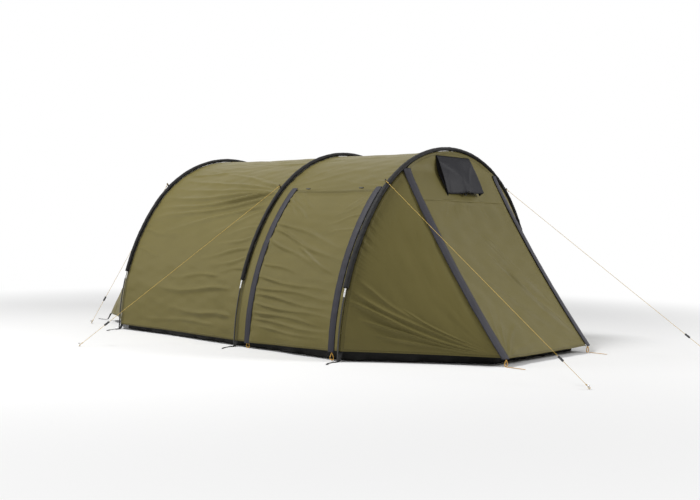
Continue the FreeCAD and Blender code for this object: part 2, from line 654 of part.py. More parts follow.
# ---- guylines -----------------------------------------------------------------------------------------
TAB_HOLE = 4.0
KNOT_REACH = 14.0              # from the eyelet to where the straight line starts
PEG_LOOP_REACH = 12.0          # from where the line ends to the middle of its peg


def guy_tab(hoop):
    """A webbing tab on the sleeve, with an eyelet for the line."""
    angle = TAB_ANGLE[hoop]
    y = HOOPS[hoop]
    tab = Part.makeBox(20, 2.4, TAB_REACH - SLEEVE_RADIUS - 0.4, Vector(-10, -1.2, SLEEVE_RADIUS + 0.4))
    hole = Part.makeCylinder(TAB_HOLE, 10, Vector(0, -5, TAB_REACH - 9), Vector(0, 1, 0))
    shape = tab.cut(hole)
    shape.rotate(Vector(0, 0, 0), Vector(0, 1, 0), angle)
    shape.translate(hoop_point(angle, 0, y))
    return shape


def line_ends(hoop):
    """Top of the line, in the tab's eyelet, and its foot beside the peg."""
    top = hoop_point(TAB_ANGLE[hoop], TAB_REACH - 9, HOOPS[hoop])
    anchor = Vector(ANCHORS[hoop][0], ANCHORS[hoop][1], ANCHOR_Z)
    along = (anchor - top).normalize()
    return top + along * KNOT_REACH, anchor - along * PEG_LOOP_REACH, along


RUNNER_HALF, RUNNER_RADIUS = 19.0, 6.5
RUNNER_CLEARANCE = 0.45


def runner(hoop):
    """A barrel threaded on the line; it slides to take up the slack."""
    _, foot, along = line_ends(hoop)
    centre = foot - along * RUNNER_FROM_PEG
    reach = along * RUNNER_HALF
    body = rod(centre - reach, centre + reach, RUNNER_RADIUS)
    return body.cut(rod(centre - reach * 1.3, centre + reach * 1.3, CORD_RADIUS + RUNNER_CLEARANCE))


PEG_RADIUS, PEG_HEIGHT, PEG_HOOK = 3.0, 24.0, 16.0


def peg_head(hoop):
    """The part of a bent-wire peg that stands out of the ground."""
    x, y = ANCHORS[hoop]
    shank = Part.makeCylinder(PEG_RADIUS, PEG_HEIGHT, Vector(x, y, 0.2))
    bend = Vector(x, y, 0.2 + PEG_HEIGHT - PEG_RADIUS)
    return join([shank, rod(bend, bend + Vector(PEG_HOOK, 0, 0), PEG_RADIUS)])


save("guy_tabs", [s for hoop in HOOPS for s in both(guy_tab(hoop))])
for hoop in HOOPS:
    line_top, line_foot, line_along = line_ends(hoop)
    print(hoop, "guyline", round((line_foot - line_top).Length, 1), "mm, direction",
          [round(v, 5) for v in line_along], "top", [round(v, 2) for v in line_top],
          "foot", [round(v, 2) for v in line_foot])
    for side_name, side in SIDES.items():
        save(side_name + "_" + hoop + "_guyline", on_side(rod(line_top, line_foot, CORD_RADIUS), side))
        save(side_name + "_" + hoop + "_runner", on_side(runner(hoop), side))
save("guy_pegs", [s for hoop in HOOPS for s in both(peg_head(hoop))])

print("foot x", round(FOOT_X, 2), "haunch radius", round(HAUNCH_RADIUS, 2),
      "haunch centre x", round(HAUNCH_CENTRE_X, 2))
print("hem angle", round(HEM, 3), "seam angle", round(SEAM, 3), "gable z", round(GABLE_Z, 2))
print("porch slope", round(SLOPE, 5), "door hinge y", round(porch_y(APRON_Z), 2))
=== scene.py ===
# %% [markdown]
# # A tunnel tent on three hoops
# The tent is cloth stretched over bent rods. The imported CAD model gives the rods, the pegs, the sliders and
# the place of every cloth. This lesson builds the cloths, straps and cords around it, as surfaces worked out
# with numpy, and then gives every piece a finish made of shader nodes.

# %% Load the frame
import math

import bpy
import numpy as np
from mathutils import Matrix, Vector


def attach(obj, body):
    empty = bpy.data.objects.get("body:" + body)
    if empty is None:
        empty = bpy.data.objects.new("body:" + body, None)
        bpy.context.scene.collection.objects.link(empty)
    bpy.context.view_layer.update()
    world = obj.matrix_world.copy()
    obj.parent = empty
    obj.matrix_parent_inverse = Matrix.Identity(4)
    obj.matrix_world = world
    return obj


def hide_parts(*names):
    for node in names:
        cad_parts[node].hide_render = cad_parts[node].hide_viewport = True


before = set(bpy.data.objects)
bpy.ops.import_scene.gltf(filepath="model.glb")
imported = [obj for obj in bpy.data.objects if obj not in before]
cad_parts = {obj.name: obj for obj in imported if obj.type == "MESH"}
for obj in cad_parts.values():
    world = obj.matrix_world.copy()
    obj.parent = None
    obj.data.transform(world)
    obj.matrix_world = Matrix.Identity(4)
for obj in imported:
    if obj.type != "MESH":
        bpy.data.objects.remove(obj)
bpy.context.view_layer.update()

# %% [markdown]
# ## Camera
# The tent is seen from its front left corner, from chest height. A camera looks along its own -Z, so its
# three axes are written as the columns of a matrix; a small roll follows the ground's slope.

# %% Camera
CAMERA_PLACE = Vector((-5.01904, -4.72510, 0.78336))
CAMERA_AZIMUTH, CAMERA_ELEVATION, CAMERA_ROLL = math.radians(-47.54), math.radians(1.44), math.radians(0.997)
camera_back = Vector((math.sin(CAMERA_AZIMUTH) * math.cos(CAMERA_ELEVATION),
                      -math.cos(CAMERA_AZIMUTH) * math.cos(CAMERA_ELEVATION), math.sin(CAMERA_ELEVATION)))
camera_right = (-camera_back).cross(Vector((0, 0, 1))).normalized()
camera_up = camera_right.cross(-camera_back)
rolled_right = camera_right * math.cos(CAMERA_ROLL) + camera_up * math.sin(CAMERA_ROLL)
rolled_up = camera_up * math.cos(CAMERA_ROLL) - camera_right * math.sin(CAMERA_ROLL)
lens = bpy.data.cameras.new("camera")
lens.lens, lens.sensor_width = 48.5, 36.0
camera = bpy.data.objects.new("camera", lens)
bpy.context.scene.collection.objects.link(camera)
turn = Matrix((rolled_right, rolled_up, camera_back)).transposed().to_4x4()
camera.matrix_world = Matrix.Translation(CAMERA_PLACE) @ turn
bpy.context.scene.camera = camera
print("camera:", [round(v, 2) for v in CAMERA_PLACE], "lens", lens.lens)

# %% [markdown]
# ## The hoop curve
# All three hoops are the same plane curve: a crown arc in the middle and a wider haunch arc on each side,
# upright where it meets the ground. Every cloth hangs on it, so it comes first. A place on it is given by
# `angle`, measured from the ridge, or by `girth`, the distance along the pole from the ridge.

# %% Hoop numbers
CROWN_RADIUS, HOOP_HEIGHT, CROWN_ANGLE = 0.935, 1.300, math.radians(52)
CROWN_Z = HOOP_HEIGHT - CROWN_RADIUS
HAUNCH_RADIUS = CROWN_RADIUS + CROWN_Z / math.cos(CROWN_ANGLE)
HAUNCH_X = (HAUNCH_RADIUS - CROWN_RADIUS) * math.sin(CROWN_ANGLE)
HOOP_Y = {"front": -1.020, "middle": -0.108, "rear": 1.179}
FLY = -0.014                   # the fly lies this far inside the pole's centreline
TENT = "tent"                  # the body that stays put
SIDES = (("left", -1), ("right", 1))


def hoop(angle, offset=0.0):
    """x and z on the hoop: the arc's centre plus (radius + offset) times (sine, cosine) of the angle."""
    on_crown = np.abs(angle) <= CROWN_ANGLE
    radius = np.where(on_crown, CROWN_RADIUS, HAUNCH_RADIUS) + offset
    x = np.where(on_crown, 0.0, -np.sign(angle) * HAUNCH_X) + radius * np.sin(angle)
    z = np.where(on_crown, CROWN_Z, 0.0) + radius * np.cos(angle)
    return x, z


def girth(angle):
    """Distance along the pole from the ridge: crown radius times angle, then haunch radius times the rest."""
    size = np.abs(angle)
    along = CROWN_RADIUS * np.minimum(size, CROWN_ANGLE) + HAUNCH_RADIUS * np.maximum(size - CROWN_ANGLE, 0)
    return np.sign(angle) * along


def angle_at(distance):
    """The inverse of girth: distance over the crown radius, then the rest over the haunch radius."""
    size, crown = np.abs(distance), CROWN_RADIUS * CROWN_ANGLE
    return np.sign(distance) * (np.minimum(size, crown) / CROWN_RADIUS + np.maximum(size - crown, 0) / HAUNCH_RADIUS)


HEM_Z, DOOR_SEAM_Z = 0.060, 1.010
HEM = float(girth(math.acos(HEM_Z / (HAUNCH_RADIUS + FLY))))
SEAM = float(girth(math.acos((DOOR_SEAM_Z - CROWN_Z) / (CROWN_RADIUS + FLY))))
print("girth to the hem", round(HEM, 3), "m, to the door's top seam", round(SEAM, 3), "m")

# %% [markdown]
# ## Helpers for surfaces
# A cloth is a grid of points; the faces join neighbours. Two more things go into each mesh: UVs in metres, so
# that a weave has its real size, and `edge`, the distance to the nearest sewn edge, so that a finish can put
# a hem and its stitches there.

# %% Grids and sheets
def unit(v):
    """Each vector divided by its length."""
    return v / np.maximum(np.linalg.norm(v, axis=-1, keepdims=True), 1e-12)


def normals(points):
    """Unit normals of a grid of points: the cross product of the steps along its rows and columns."""
    return unit(np.cross(np.gradient(points, axis=0), np.gradient(points, axis=1)))


def stops(places, step):
    """Numbers about step apart that pass exactly through each of these places."""
    runs = [np.linspace(a, b, max(2, round(abs(b - a) / step) + 1))[:-1] for a, b in zip(places[:-1], places[1:])]
    return np.concatenate(runs + [[places[-1]]])


def grid(down, across, step, wider=None):
    """Two arrays: the first goes through the places in down along the rows, the second through those in across.
    The steps are step long down and wider long across, because most folds run across."""
    return np.meshgrid(stops(down, step), stops(across, wider or step), indexing="ij")


def middles(a):
    """The mean of each face's four corners."""
    return (a[:-1, :-1] + a[1:, :-1] + a[1:, 1:] + a[:-1, 1:]) / 4


def put_in(name, points, quads, uv, edge=None, caps=()):
    """One object from points and quads, with UVs given for each point, smooth faces, and flat caps at its ends."""
    used, where = np.unique(quads, return_inverse=True)
    quads = where.reshape(-1, 4)
    mesh = bpy.data.meshes.new(name)
    mesh.from_pydata(points.reshape(-1, 3)[used].tolist(), [], quads.tolist() + [list(map(int, c)) for c in caps])
    corners = np.concatenate([quads.ravel(), *[np.asarray(c) for c in caps]])
    layer = mesh.uv_layers.new(name="UVMap")
    layer.data.foreach_set("uv", uv.reshape(-1, 2)[used][corners].astype(np.float32).ravel())
    if edge is not None:
        mark = mesh.attributes.new("edge", "FLOAT", "POINT")
        mark.data.foreach_set("value", edge.reshape(-1)[used].astype(np.float32))
    mesh.polygons.foreach_set("use_smooth", np.arange(len(quads) + len(caps)) < len(quads))
    mesh.update()
    made = bpy.data.objects.new(name, mesh)
    bpy.context.scene.collection.objects.link(made)
    return made


def sheet(name, points, uv, edge, keep=None, flip=False, thickness=0.0014):
    """A grid of points as a sheet: quads between neighbours where keep says so, given a thickness inwards."""
    rows, columns = points.shape[:2]
    index = np.arange(rows * columns).reshape(rows, columns)
    quads = np.stack([index[:-1, :-1], index[1:, :-1], index[1:, 1:], index[:-1, 1:]], -1).reshape(-1, 4)
    if keep is not None:
        quads = quads[keep.reshape(-1)]
    if flip:
        quads = quads[:, ::-1]
    made = put_in(name, points, quads, uv, edge)
    wall = made.modifiers.new("wall", "SOLIDIFY")
    wall.thickness, wall.offset = thickness, -1.0
    return made


def place(piece, body, material, slot, *stands_for):
    """Gives a piece its finish, its body and the CAD nodes that it stands for; slot is not used."""
    piece.data.materials.append(material)
    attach(piece, body)
    if stands_for:
        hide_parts(*stands_for)
    return piece


# %% [markdown]
# ## Swept pieces
# Sleeves, straps, loops and pegs are one outline carried along a path. The outline lies across the path's
# tangent, and a fixed `up` vector says which way it faces, so nothing twists.

# %% Sweeps
def swept(name, path, out, side, up, ring=False, wall=0.0):
    """Points path + A * out + B * side, where A is up x tangent and B is tangent x A; the outline is closed, and
    out and side have one row for each path point. A ring's path is closed too. With a wall the tube is hollow
    and open at its ends; without one its ends are capped."""
    path = np.asarray(path, float)
    step = np.roll(path, -1, 0) - np.roll(path, 1, 0) if ring else np.gradient(path, axis=0)
    tangent = unit(step)
    a = unit(np.cross(np.broadcast_to(np.array(up, float), path.shape), tangent))
    b = np.cross(tangent, a)
    points = path[:, None] + a[:, None] * out[..., None] + b[:, None] * side[..., None]
    rows, columns = points.shape[:2]
    index = np.arange(rows * columns).reshape(rows, columns)
    after = np.roll(index, -1, 1)
    if ring:
        quads = np.stack([index, after, np.roll(after, -1, 0), np.roll(index, -1, 0)], -1).reshape(-1, 4)
    else:
        quads = np.stack([index[:-1], after[:-1], after[1:], index[1:]], -1).reshape(-1, 4)
    length = np.concatenate([[0], np.cumsum(np.linalg.norm(np.diff(path, axis=0), axis=1))])
    round_it = np.cumsum(np.linalg.norm(points - np.roll(points, 1, 1), axis=2), axis=1)
    uv = np.stack([round_it, np.broadcast_to(length[:, None], round_it.shape)], -1)
    made = put_in(name, points, quads, uv, caps=() if ring or wall else (index[0][::-1], index[-1]))
    if wall:
        shell = made.modifiers.new("wall", "SOLIDIFY")
        shell.thickness, shell.offset = wall, -1.0
    return made


def round_tube(name, path, radius, up, sides=10, ring=False):
    """A round tube: the outline is radius times the cosine and sine of an angle that runs once round."""
    turn = np.linspace(0, 2 * math.pi, sides, endpoint=False)
    radius = np.broadcast_to(np.asarray(radius, float), (len(path),))[:, None]
    return swept(name, path, radius * np.cos(turn), radius * np.sin(turn), up, ring)


def ribbon(name, path, width, thickness, up):
    """Webbing: a flat outline with rounded sides; its broad face looks along up."""
    turn = np.linspace(0, 2 * math.pi, 12, endpoint=False)
    flat = np.sign(np.cos(turn)) * np.abs(np.cos(turn)) ** 0.35
    thin = np.sign(np.sin(turn)) * np.abs(np.sin(turn)) ** 0.6
    width = np.broadcast_to(np.asarray(width, float), (len(path),))[:, None]
    return swept(name, path, width / 2 * flat, thickness / 2 * thin + 0 * width, up)


def smooth_path(corners, count):
    """A quadratic B-spline through the middle of each leg, held at both ends: weights (1-t)^2, 2t(1-t), t^2."""
    corners = np.array(corners, float)
    middles = (corners[1:] + corners[:-1]) / 2
    knots = np.concatenate([corners[:1], middles[1:-1], corners[-1:]]) if len(corners) > 3 else corners[[0, -1]]
    pieces = len(knots) - 1
    t = np.linspace(0, pieces, count)
    i = np.minimum(t.astype(int), pieces - 1)
    f = (t - i)[:, None]
    return (1 - f) ** 2 * knots[i] + 2 * f * (1 - f) * corners[i + 1] + f ** 2 * knots[i + 1]


# %% [markdown]
# ## Folds
# Cloth that is pulled tight shows three kinds of fold: long creases that run out from a point under load,
# short gathers beside a seam, and a faint unevenness all over. Each is a height over the flat cloth, so they
# simply add up.

# %% Fold heights
def creases(p, q, lines):
    """Sum of creases (p0, q0, p1, q1, width, depth). Across each crease the height is a crest with a hollow on
    either side: 2.2 exp(-1.7 sqrt(x^2 + 0.05)) - 0.5 exp(-x^2 / 3), with x the distance over a width that grows
    along it. Along it, the crest bows a little and fades out."""
    p0, q0, p1, q1, width, depth = np.array(lines, float).T
    dp, dq = p1 - p0, q1 - q0
    length = np.hypot(dp, dq)
    from_p, from_q = p[..., None] - p0, q[..., None] - q0
    t = (from_p * dp + from_q * dq) / length ** 2
    bow = 0.5 * width * np.sin(7 * t + 40 * p0 + 17 * q0)
    x = ((from_q * dp - from_p * dq) / length + bow) / (width * (0.7 + 0.8 * np.clip(t, 0, 1)))
    fade = np.clip(t * 7, 0, 1) * np.clip(1 - t, 0, 1) ** 0.7
    crest = 2.2 * np.exp(-1.7 * np.sqrt(x ** 2 + 0.05)) - 0.5 * np.exp(-x ** 2 / 3)
    return (depth * crest * fade).sum(-1)


def uneven(p, q, seed, height, shortest=0.09, longest=0.35, waves=14):
    """A sum of sine waves in random directions, their lengths between shortest and longest."""
    draw = np.random.default_rng(seed)
    heading, phase = draw.uniform(0, math.pi, waves), draw.uniform(0, 2 * math.pi, waves)
    wave = 2 * math.pi / draw.uniform(shortest, longest, waves)
    inside = wave * (p[..., None] * np.cos(heading) + q[..., None] * np.sin(heading)) + phase
    return height * np.sin(inside).sum(-1) / math.sqrt(waves / 2)


def gathers(along, away, seed, height, reach=0.055):
    """Short folds that run away from a seam: random waves along it, times exp(-(away / reach))."""
    draw = np.random.default_rng(seed)
    wave = 2 * math.pi / draw.uniform(0.035, 0.14, 9)
    phase = draw.uniform(0, 2 * math.pi, 9)
    slow = 0.55 + 0.45 * np.sin(along * 5.1 + seed)
    rise = np.sin(wave * along[..., None] + phase).sum(-1) / 2.1
    return height * rise * slow * np.exp(-np.maximum(away, 0) / reach) * np.clip(away / 0.008, 0, 1)


print("fold helpers ready")

# %% [markdown]
# ## Finishes
# Tent cloth is a plain weave of fine threads with a coating: a soft shine, a weave too small to see from
# afar, and a faint crumple that never quite leaves it. The colour wanders a little, and a hem is two layers
# with a row of stitches. One function makes all the woven finishes, from the UVs in metres.

# %% Woven finishes
def add(material, kind, inputs, **settings):
    """One shader node: settings are its properties, inputs its sockets, each a value or another socket."""
    made = material.node_tree.nodes.new(kind)
    for key, value in settings.items():
        setattr(made, key, value)
    for key, value in inputs.items():
        if isinstance(value, bpy.types.NodeSocket):
            material.node_tree.links.new(value, made.inputs[key])
        else:
            made.inputs[key].default_value = value
    return made


def combine(material, operation, *values, **settings):
    """A Math node on these values; gives its output socket."""
    return add(material, "ShaderNodeMath", dict(enumerate(values)), operation=operation, **settings).outputs[0]


def ramp(material, value, low, high, to_low=0.0, to_high=1.0, **settings):
    """A Map Range node: low becomes to_low and high becomes to_high; gives its output socket."""
    return add(material, "ShaderNodeMapRange", {"Value": value, "From Min": low, "From Max": high, "To Min": to_low,
                                                "To Max": to_high}, **settings).outputs[0]


def blank(name, colour, roughness, **sockets):
    """A material whose shader has these plain values."""
    material = bpy.data.materials.new(name)
    material.use_nodes = True
    shader = material.node_tree.nodes["Principled BSDF"]
    shader.inputs["Base Color"].default_value = (*colour, 1)
    shader.inputs["Roughness"].default_value = roughness
    for key, value in sockets.items():
        shader.inputs[key.replace("_", " ")].default_value = value
    return material, shader


WAVE_UNIT = 0.314              # a wave texture of scale 1 repeats every 0.314 m


def woven(name, colour, shade, roughness, thread, crumple=0.0007, weave=0.00012, hem=0.0, **sockets):
    """Threads each way at this spacing, a crumple, colour that wanders towards shade, and a hem if it has one."""
    material, shader = blank(name, colour, roughness, **sockets)
    link = material.node_tree.links.new
    uv = add(material, "ShaderNodeUVMap", {}, uv_map="UVMap").outputs["UV"]
    warp, weft = (add(material, "ShaderNodeTexWave", {"Vector": uv, "Scale": WAVE_UNIT / thread, "Distortion": 0.4},
                      bands_direction=d).outputs["Fac"] for d in ("X", "Y"))
    cross = combine(material, "MAXIMUM", warp, weft)
    broad = add(material, "ShaderNodeTexNoise", {"Vector": uv, "Scale": 4.0, "Detail": 5.0, "Roughness": 0.6})
    fine = add(material, "ShaderNodeTexNoise", {"Vector": uv, "Scale": 260.0, "Detail": 2.0})
    wander = ramp(material, broad.outputs["Fac"], 0.3, 0.7, 0.0, 0.7)
    speck = combine(material, "MULTIPLY", fine.outputs["Fac"], 0.35)
    amount = combine(material, "ADD", wander, speck)
    paint = add(material, "ShaderNodeMix", {0: amount, 6: (*colour, 1), 7: (*shade, 1)}, data_type="RGBA")
    creased = add(material, "ShaderNodeTexNoise", {"Vector": uv, "Scale": 13.0, "Detail": 4.0, "Roughness": 0.55,
                                                   "Distortion": 0.6})
    bump = add(material, "ShaderNodeBump", {"Height": creased.outputs["Fac"], "Distance": crumple, "Strength": 0.6})
    bump = add(material, "ShaderNodeBump", {"Height": cross, "Distance": weave, "Strength": 0.7,
                                            "Normal": bump.outputs[0]})
    colour_out = paint.outputs[2]
    if hem:
        edge = add(material, "ShaderNodeAttribute", {}, attribute_name="edge").outputs["Fac"]
        band = ramp(material, edge, hem, hem + 0.0015, 1.0, 0.0)
        bump = add(material, "ShaderNodeBump", {"Height": band, "Distance": 0.0012, "Strength": 0.8,
                                                "Normal": bump.outputs[0]})
        from_row = combine(material, "SUBTRACT", edge, hem - 0.002)
        near = combine(material, "ABSOLUTE", from_row)
        row = ramp(material, near, 0.0006, 0.0011, 1.0, 0.0)
        dash = add(material, "ShaderNodeTexWave", {"Vector": uv, "Scale": WAVE_UNIT / 0.005},
                   bands_direction="DIAGONAL").outputs["Fac"]
        stitch = combine(material, "MULTIPLY", row, dash)
        double = combine(material, "MULTIPLY", band, 0.3)
        dark = combine(material, "ADD", double, stitch, use_clamp=True)
        hemmed = add(material, "ShaderNodeMix", {0: dark, 6: colour_out,
                                                 7: (*[c * 0.45 for c in colour], 1)}, data_type="RGBA")
        colour_out = hemmed.outputs[2]
    link(colour_out, shader.inputs["Base Color"])
    link(bump.outputs[0], shader.inputs["Normal"])
    return material


OLIVE, OLIVE_SHADE = (0.152, 0.129, 0.045), (0.135, 0.115, 0.039)
fly_cloth = woven("olive fly cloth", OLIVE, OLIVE_SHADE, 0.42, 0.0011, hem=0.012, Specular_IOR_Level=0.11)
sleeve_cloth = woven("black sleeve cloth", (0.017, 0.016, 0.016), (0.010, 0.010, 0.010), 0.62, 0.0016,
                     crumple=0.0012, Specular_IOR_Level=0.18)
flap_cloth = woven("dark zip flap cloth", (0.034, 0.033, 0.042), (0.024, 0.023, 0.030), 0.55, 0.0014,
                   crumple=0.0010, hem=0.006, Specular_IOR_Level=0.2)
hood_cloth = woven("coated vent cloth", (0.020, 0.020, 0.024), (0.013, 0.013, 0.016), 0.42, 0.0012,
                   crumple=0.0015, hem=0.010, Specular_IOR_Level=0.08)
skirt_cloth = woven("black skirt sheeting", (0.014, 0.013, 0.012), (0.008, 0.008, 0.007), 0.5, 0.0024,
                    crumple=0.003, weave=0.0003, hem=0.008, Specular_IOR_Level=0.15)
floor_cloth = woven("dark floor sheeting", (0.050, 0.050, 0.052), (0.034, 0.034, 0.036), 0.48, 0.0030,
                    crumple=0.002, weave=0.0004, hem=0.012, Specular_IOR_Level=0.3)
cabin_cloth = woven("pale cabin cloth", (0.56, 0.53, 0.45), (0.48, 0.45, 0.38), 0.8, 0.0010, hem=0.010)
webbing = woven("black webbing", (0.014, 0.014, 0.014), (0.007, 0.007, 0.007), 0.7, 0.0028, crumple=0.0006,
                weave=0.0005, Specular_IOR_Level=0.25)
gold_elastic = woven("gold elastic", (0.72, 0.42, 0.08), (0.58, 0.30, 0.05), 0.6, 0.0014, crumple=0.0004,
                     weave=0.0004)
gold_cord = woven("gold braid", (0.66, 0.45, 0.10), (0.52, 0.34, 0.07), 0.6, 0.0012, crumple=0.0002, weave=0.0004)
print("woven finishes:", len(bpy.data.materials))

# %% [markdown]
# ## Hard finishes
# The fibreglass rods are drawn through a die, so faint lines run along them. The ferrules and pegs are
# plated steel with fine scratches, and the runners and toggles are moulded plastic with a slight grain. None
# of them has UVs, so they read Object coordinates.

# %% Rod, steel and plastic
def hard(name, colour, shade, roughness, scale, depth, **sockets):
    """Noise in Object coordinates, scaled by a vector, which varies the colour and lifts the surface."""
    material, shader = blank(name, colour, roughness, **sockets)
    link = material.node_tree.links.new
    where = add(material, "ShaderNodeTexCoord", {}).outputs["Object"]
    spread = add(material, "ShaderNodeMapping", {"Vector": where, "Scale": scale}).outputs[0]
    grain = add(material, "ShaderNodeTexNoise", {"Vector": spread, "Scale": 1.0, "Detail": 4.0}).outputs["Fac"]
    paint = add(material, "ShaderNodeMix", {0: grain, 6: (*colour, 1), 7: (*shade, 1)}, data_type="RGBA")
    bump = add(material, "ShaderNodeBump", {"Height": grain, "Distance": depth, "Strength": 0.5})
    link(paint.outputs[2], shader.inputs["Base Color"])
    link(bump.outputs[0], shader.inputs["Normal"])
    return material


fibreglass = hard("black fibreglass", (0.016, 0.016, 0.017), (0.030, 0.030, 0.031), 0.34, (900, 900, 60), 0.0002)
steel = hard("plated steel", (0.66, 0.66, 0.66), (0.52, 0.52, 0.53), 0.32, (400, 400, 900), 0.00008, Metallic=1.0)
moulded = hard("moulded black plastic", (0.020, 0.020, 0.021), (0.030, 0.030, 0.031), 0.42, (1500, 1500, 1500),
               0.0001)
zip_coil = hard("zip coil", (0.022, 0.022, 0.024), (0.008, 0.008, 0.009), 0.5, (300, 900, 900), 0.0006)

# the vent's mesh is holes between fine threads, so its finish is see-through in small squares
mesh_cloth, mesh_shader = blank("vent mesh", (0.015, 0.015, 0.016), 0.7)
mesh_place = add(mesh_cloth, "ShaderNodeTexCoord", {}).outputs["Object"]
mesh_lines = [add(mesh_cloth, "ShaderNodeTexWave", {"Vector": mesh_place, "Scale": WAVE_UNIT / 0.0022},
                  bands_direction=d).outputs["Fac"] for d in ("X", "Z")]
mesh_grid = combine(mesh_cloth, "MAXIMUM", *mesh_lines)
mesh_cut = ramp(mesh_cloth, mesh_grid, 0.55, 0.7)
mesh_cloth.node_tree.links.new(mesh_cut, mesh_shader.inputs["Alpha"])
print("finishes in all:", len(bpy.data.materials))

# %% [markdown]
# ## Guylines first
# Six thin braided cords hold the hoops. Each runs straight from an eyelet on its sleeve to its peg, pulled
# tight by a runner, so it is a curve of three points with hardly any sag. At both ends it goes round in a
# small loop, closed by a few turns of the cord; those are pieces of their own. The peg is bent wire.

# %% Guyline numbers
CORD_RADIUS = 0.00125
# the straight part of each right-hand line, from the eyelet's knot to the peg's loop
LINE_ENDS = {"front": ((0.66202, -1.03130, 1.05577), (0.79513, -2.46531, 0.01602)),
             "middle": ((0.68977, -0.10278, 1.03642), (1.79183, 0.50152, 0.01656)),
             "rear": ((0.64779, 1.18429, 1.06761), (0.99649, 1.63546, 0.01954))}
PEG_PLACES = {"front": (0.796, -2.475), "middle": (1.800, 0.506), "rear": (1.000, 1.640)}
EYELET_REACH, PEG_REACH = 0.014, 0.012
RUNNER_FROM_END = 0.198        # from the line's lower end up to the middle of the runner
RUNNER_LENGTH, RUNNER_RADIUS = 0.038, 0.0065
KNOT_IN, LINE_DIP = 0.007, 0.004   # from a line's end to the middle of its knot, and how far its middle hangs


def mirrored(point, side):
    return np.array([point[0] * side, point[1], point[2]])


def drop_loop(start, end, across, width, count=36):
    """A drop-shaped ring: along = (1 - cos t) / 2, across = 0.75 sin t (1 - cos t) / 2 times the width."""
    t = np.linspace(0, 2 * math.pi, count, endpoint=False)
    along = ((1 - np.cos(t)) / 2)[:, None]
    aside = (0.75 * np.sin(t) * (1 - np.cos(t)) / 2 * width)[:, None]
    return start + (end - start) * along + across * aside


def whipping(centre, axis, across, radius, length, turns):
    """A helix round the cord: centre + axis * z + radius * (across cos t + (axis x across) sin t)."""
    t = np.linspace(0, 2 * math.pi * turns, int(turns * 12))[:, None]
    other = np.cross(axis, across)
    round_it = across * np.cos(t) + other * np.sin(t)
    return centre + axis * (t / (2 * math.pi * turns) - 0.5) * length + radius * round_it


# %% Cords, loops, knots and runners
for hoop_name, (top, foot) in LINE_ENDS.items():
    for side_name, side in SIDES:
        top_point, foot_point = mirrored(top, side), mirrored(foot, side)
        down = unit(foot_point - top_point)
        level = unit(np.cross(down, np.array([0.0, 0.0, 1.0])))
        name = f"{side_name}_{hoop_name}_"
        curve = bpy.data.curves.new(name + "line", "CURVE")
        curve.dimensions, curve.resolution_u = "3D", 12
        curve.bevel_depth, curve.bevel_resolution, curve.use_fill_caps = CORD_RADIUS, 2, True
        spline = curve.splines.new("NURBS")
        spline.points.add(2)
        middle = (top_point + foot_point) / 2 - np.array([0, 0, LINE_DIP])
        spline.points.foreach_set("co", np.concatenate([np.append(p, 1.0) for p in (top_point, middle, foot_point)]))
        spline.order_u, spline.use_endpoint_u = 3, True
        line = bpy.data.objects.new(name + "line", curve)
        bpy.context.scene.collection.objects.link(line)
        place(line, TENT, gold_cord, "gold_cord", name + "guyline")
        loops = [("eyelet_loop", top_point, top_point - down * (EYELET_REACH + 0.004), 0.012),
                 ("peg_loop", foot_point, foot_point + down * (PEG_REACH + 0.007), 0.016)]
        for loop_name, start, end, width in loops:
            ring = drop_loop(start, end, level, width)
            face = np.cross(down, level)
            place(round_tube(name + loop_name, ring, CORD_RADIUS, face, 8, ring=True),
                                TENT, gold_cord, "gold_cord")
        for knot_name, at in (("eyelet_knot", top_point + down * KNOT_IN),
                              ("peg_knot", foot_point - down * KNOT_IN)):
            wound = whipping(at, down, level, CORD_RADIUS * 1.9, 0.009, 4)
            place(round_tube(name + knot_name, wound, CORD_RADIUS * 0.9, down, 6),
                                TENT, gold_cord, "gold_cord")
        t = np.linspace(-1, 1, 61)
        waist = RUNNER_RADIUS * (1 - 0.10 * np.cos(t * 3 * math.pi) ** 6) * (1 - np.clip(np.abs(t) - 0.86, 0, 1) * 2.4)
        centre = foot_point - down * RUNNER_FROM_END
        path = centre + down * (t * RUNNER_LENGTH / 2)[:, None]
        barrel = round_tube(name + "barrel", path, waist, level, 20)
        place(barrel, name + "runner", moulded, "runner_plastic", name + "runner")

# %% [markdown]
# The pegs are steel wire bent over at the top, so that the loop can't slip off. Only what stands out of the
# ground is made.

# %% Pegs
PEG_RADIUS, PEG_TOP, PEG_HOOK, PEG_TIP = 0.003, 0.0212, 0.016, 0.0175
for hoop_name, (x, y) in PEG_PLACES.items():
    for side_name, side in SIDES:
        bends = ((0, 0.0002), (0, 0.010), (0, PEG_TOP), (0.009, PEG_TOP), (PEG_HOOK, PEG_TIP))
        wire = smooth_path([(side * (x + aside), y, z) for aside, z in bends], 30)
        peg = round_tube(f"{side_name}_{hoop_name}_peg", wire, PEG_RADIUS, (0, 1, 0), 12)
        place(peg, TENT, steel, "steel")
        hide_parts("guy_pegs")
print("pegs:", 2 * len(PEG_PLACES))

# %% [markdown]
# ## The fly over the hoops
# The fly is the waterproof outer cloth. Between two hoops it is pulled lengthways, so it sinks a little in
# the middle, and strong creases run from where a guyline pulls the middle hoop. The surface is the hoop curve
# moved inwards by the sag, with the folds added as heights.

# %% Rear bay
def tube_points(p, q, height):
    """Points at girth p and length q, lifted off the fly's own surface by height."""
    x, z = hoop(angle_at(p), FLY + height)
    return np.stack([x, q, z], -1)


def between(value, low, high):
    """0 at low and high, 1 halfway: 4 v (1 - v)."""
    v = np.clip((value - low) / (high - low), 0, 1)
    return 4 * v * (1 - v)


def near_zero_at(value, low, high, reach=0.03):
    """Rises from 0 to 1 within reach of either end, so that folds die out at a seam."""
    gap = np.minimum(value - low, high - value)
    return np.clip(gap / reach, 0, 1) ** 0.8


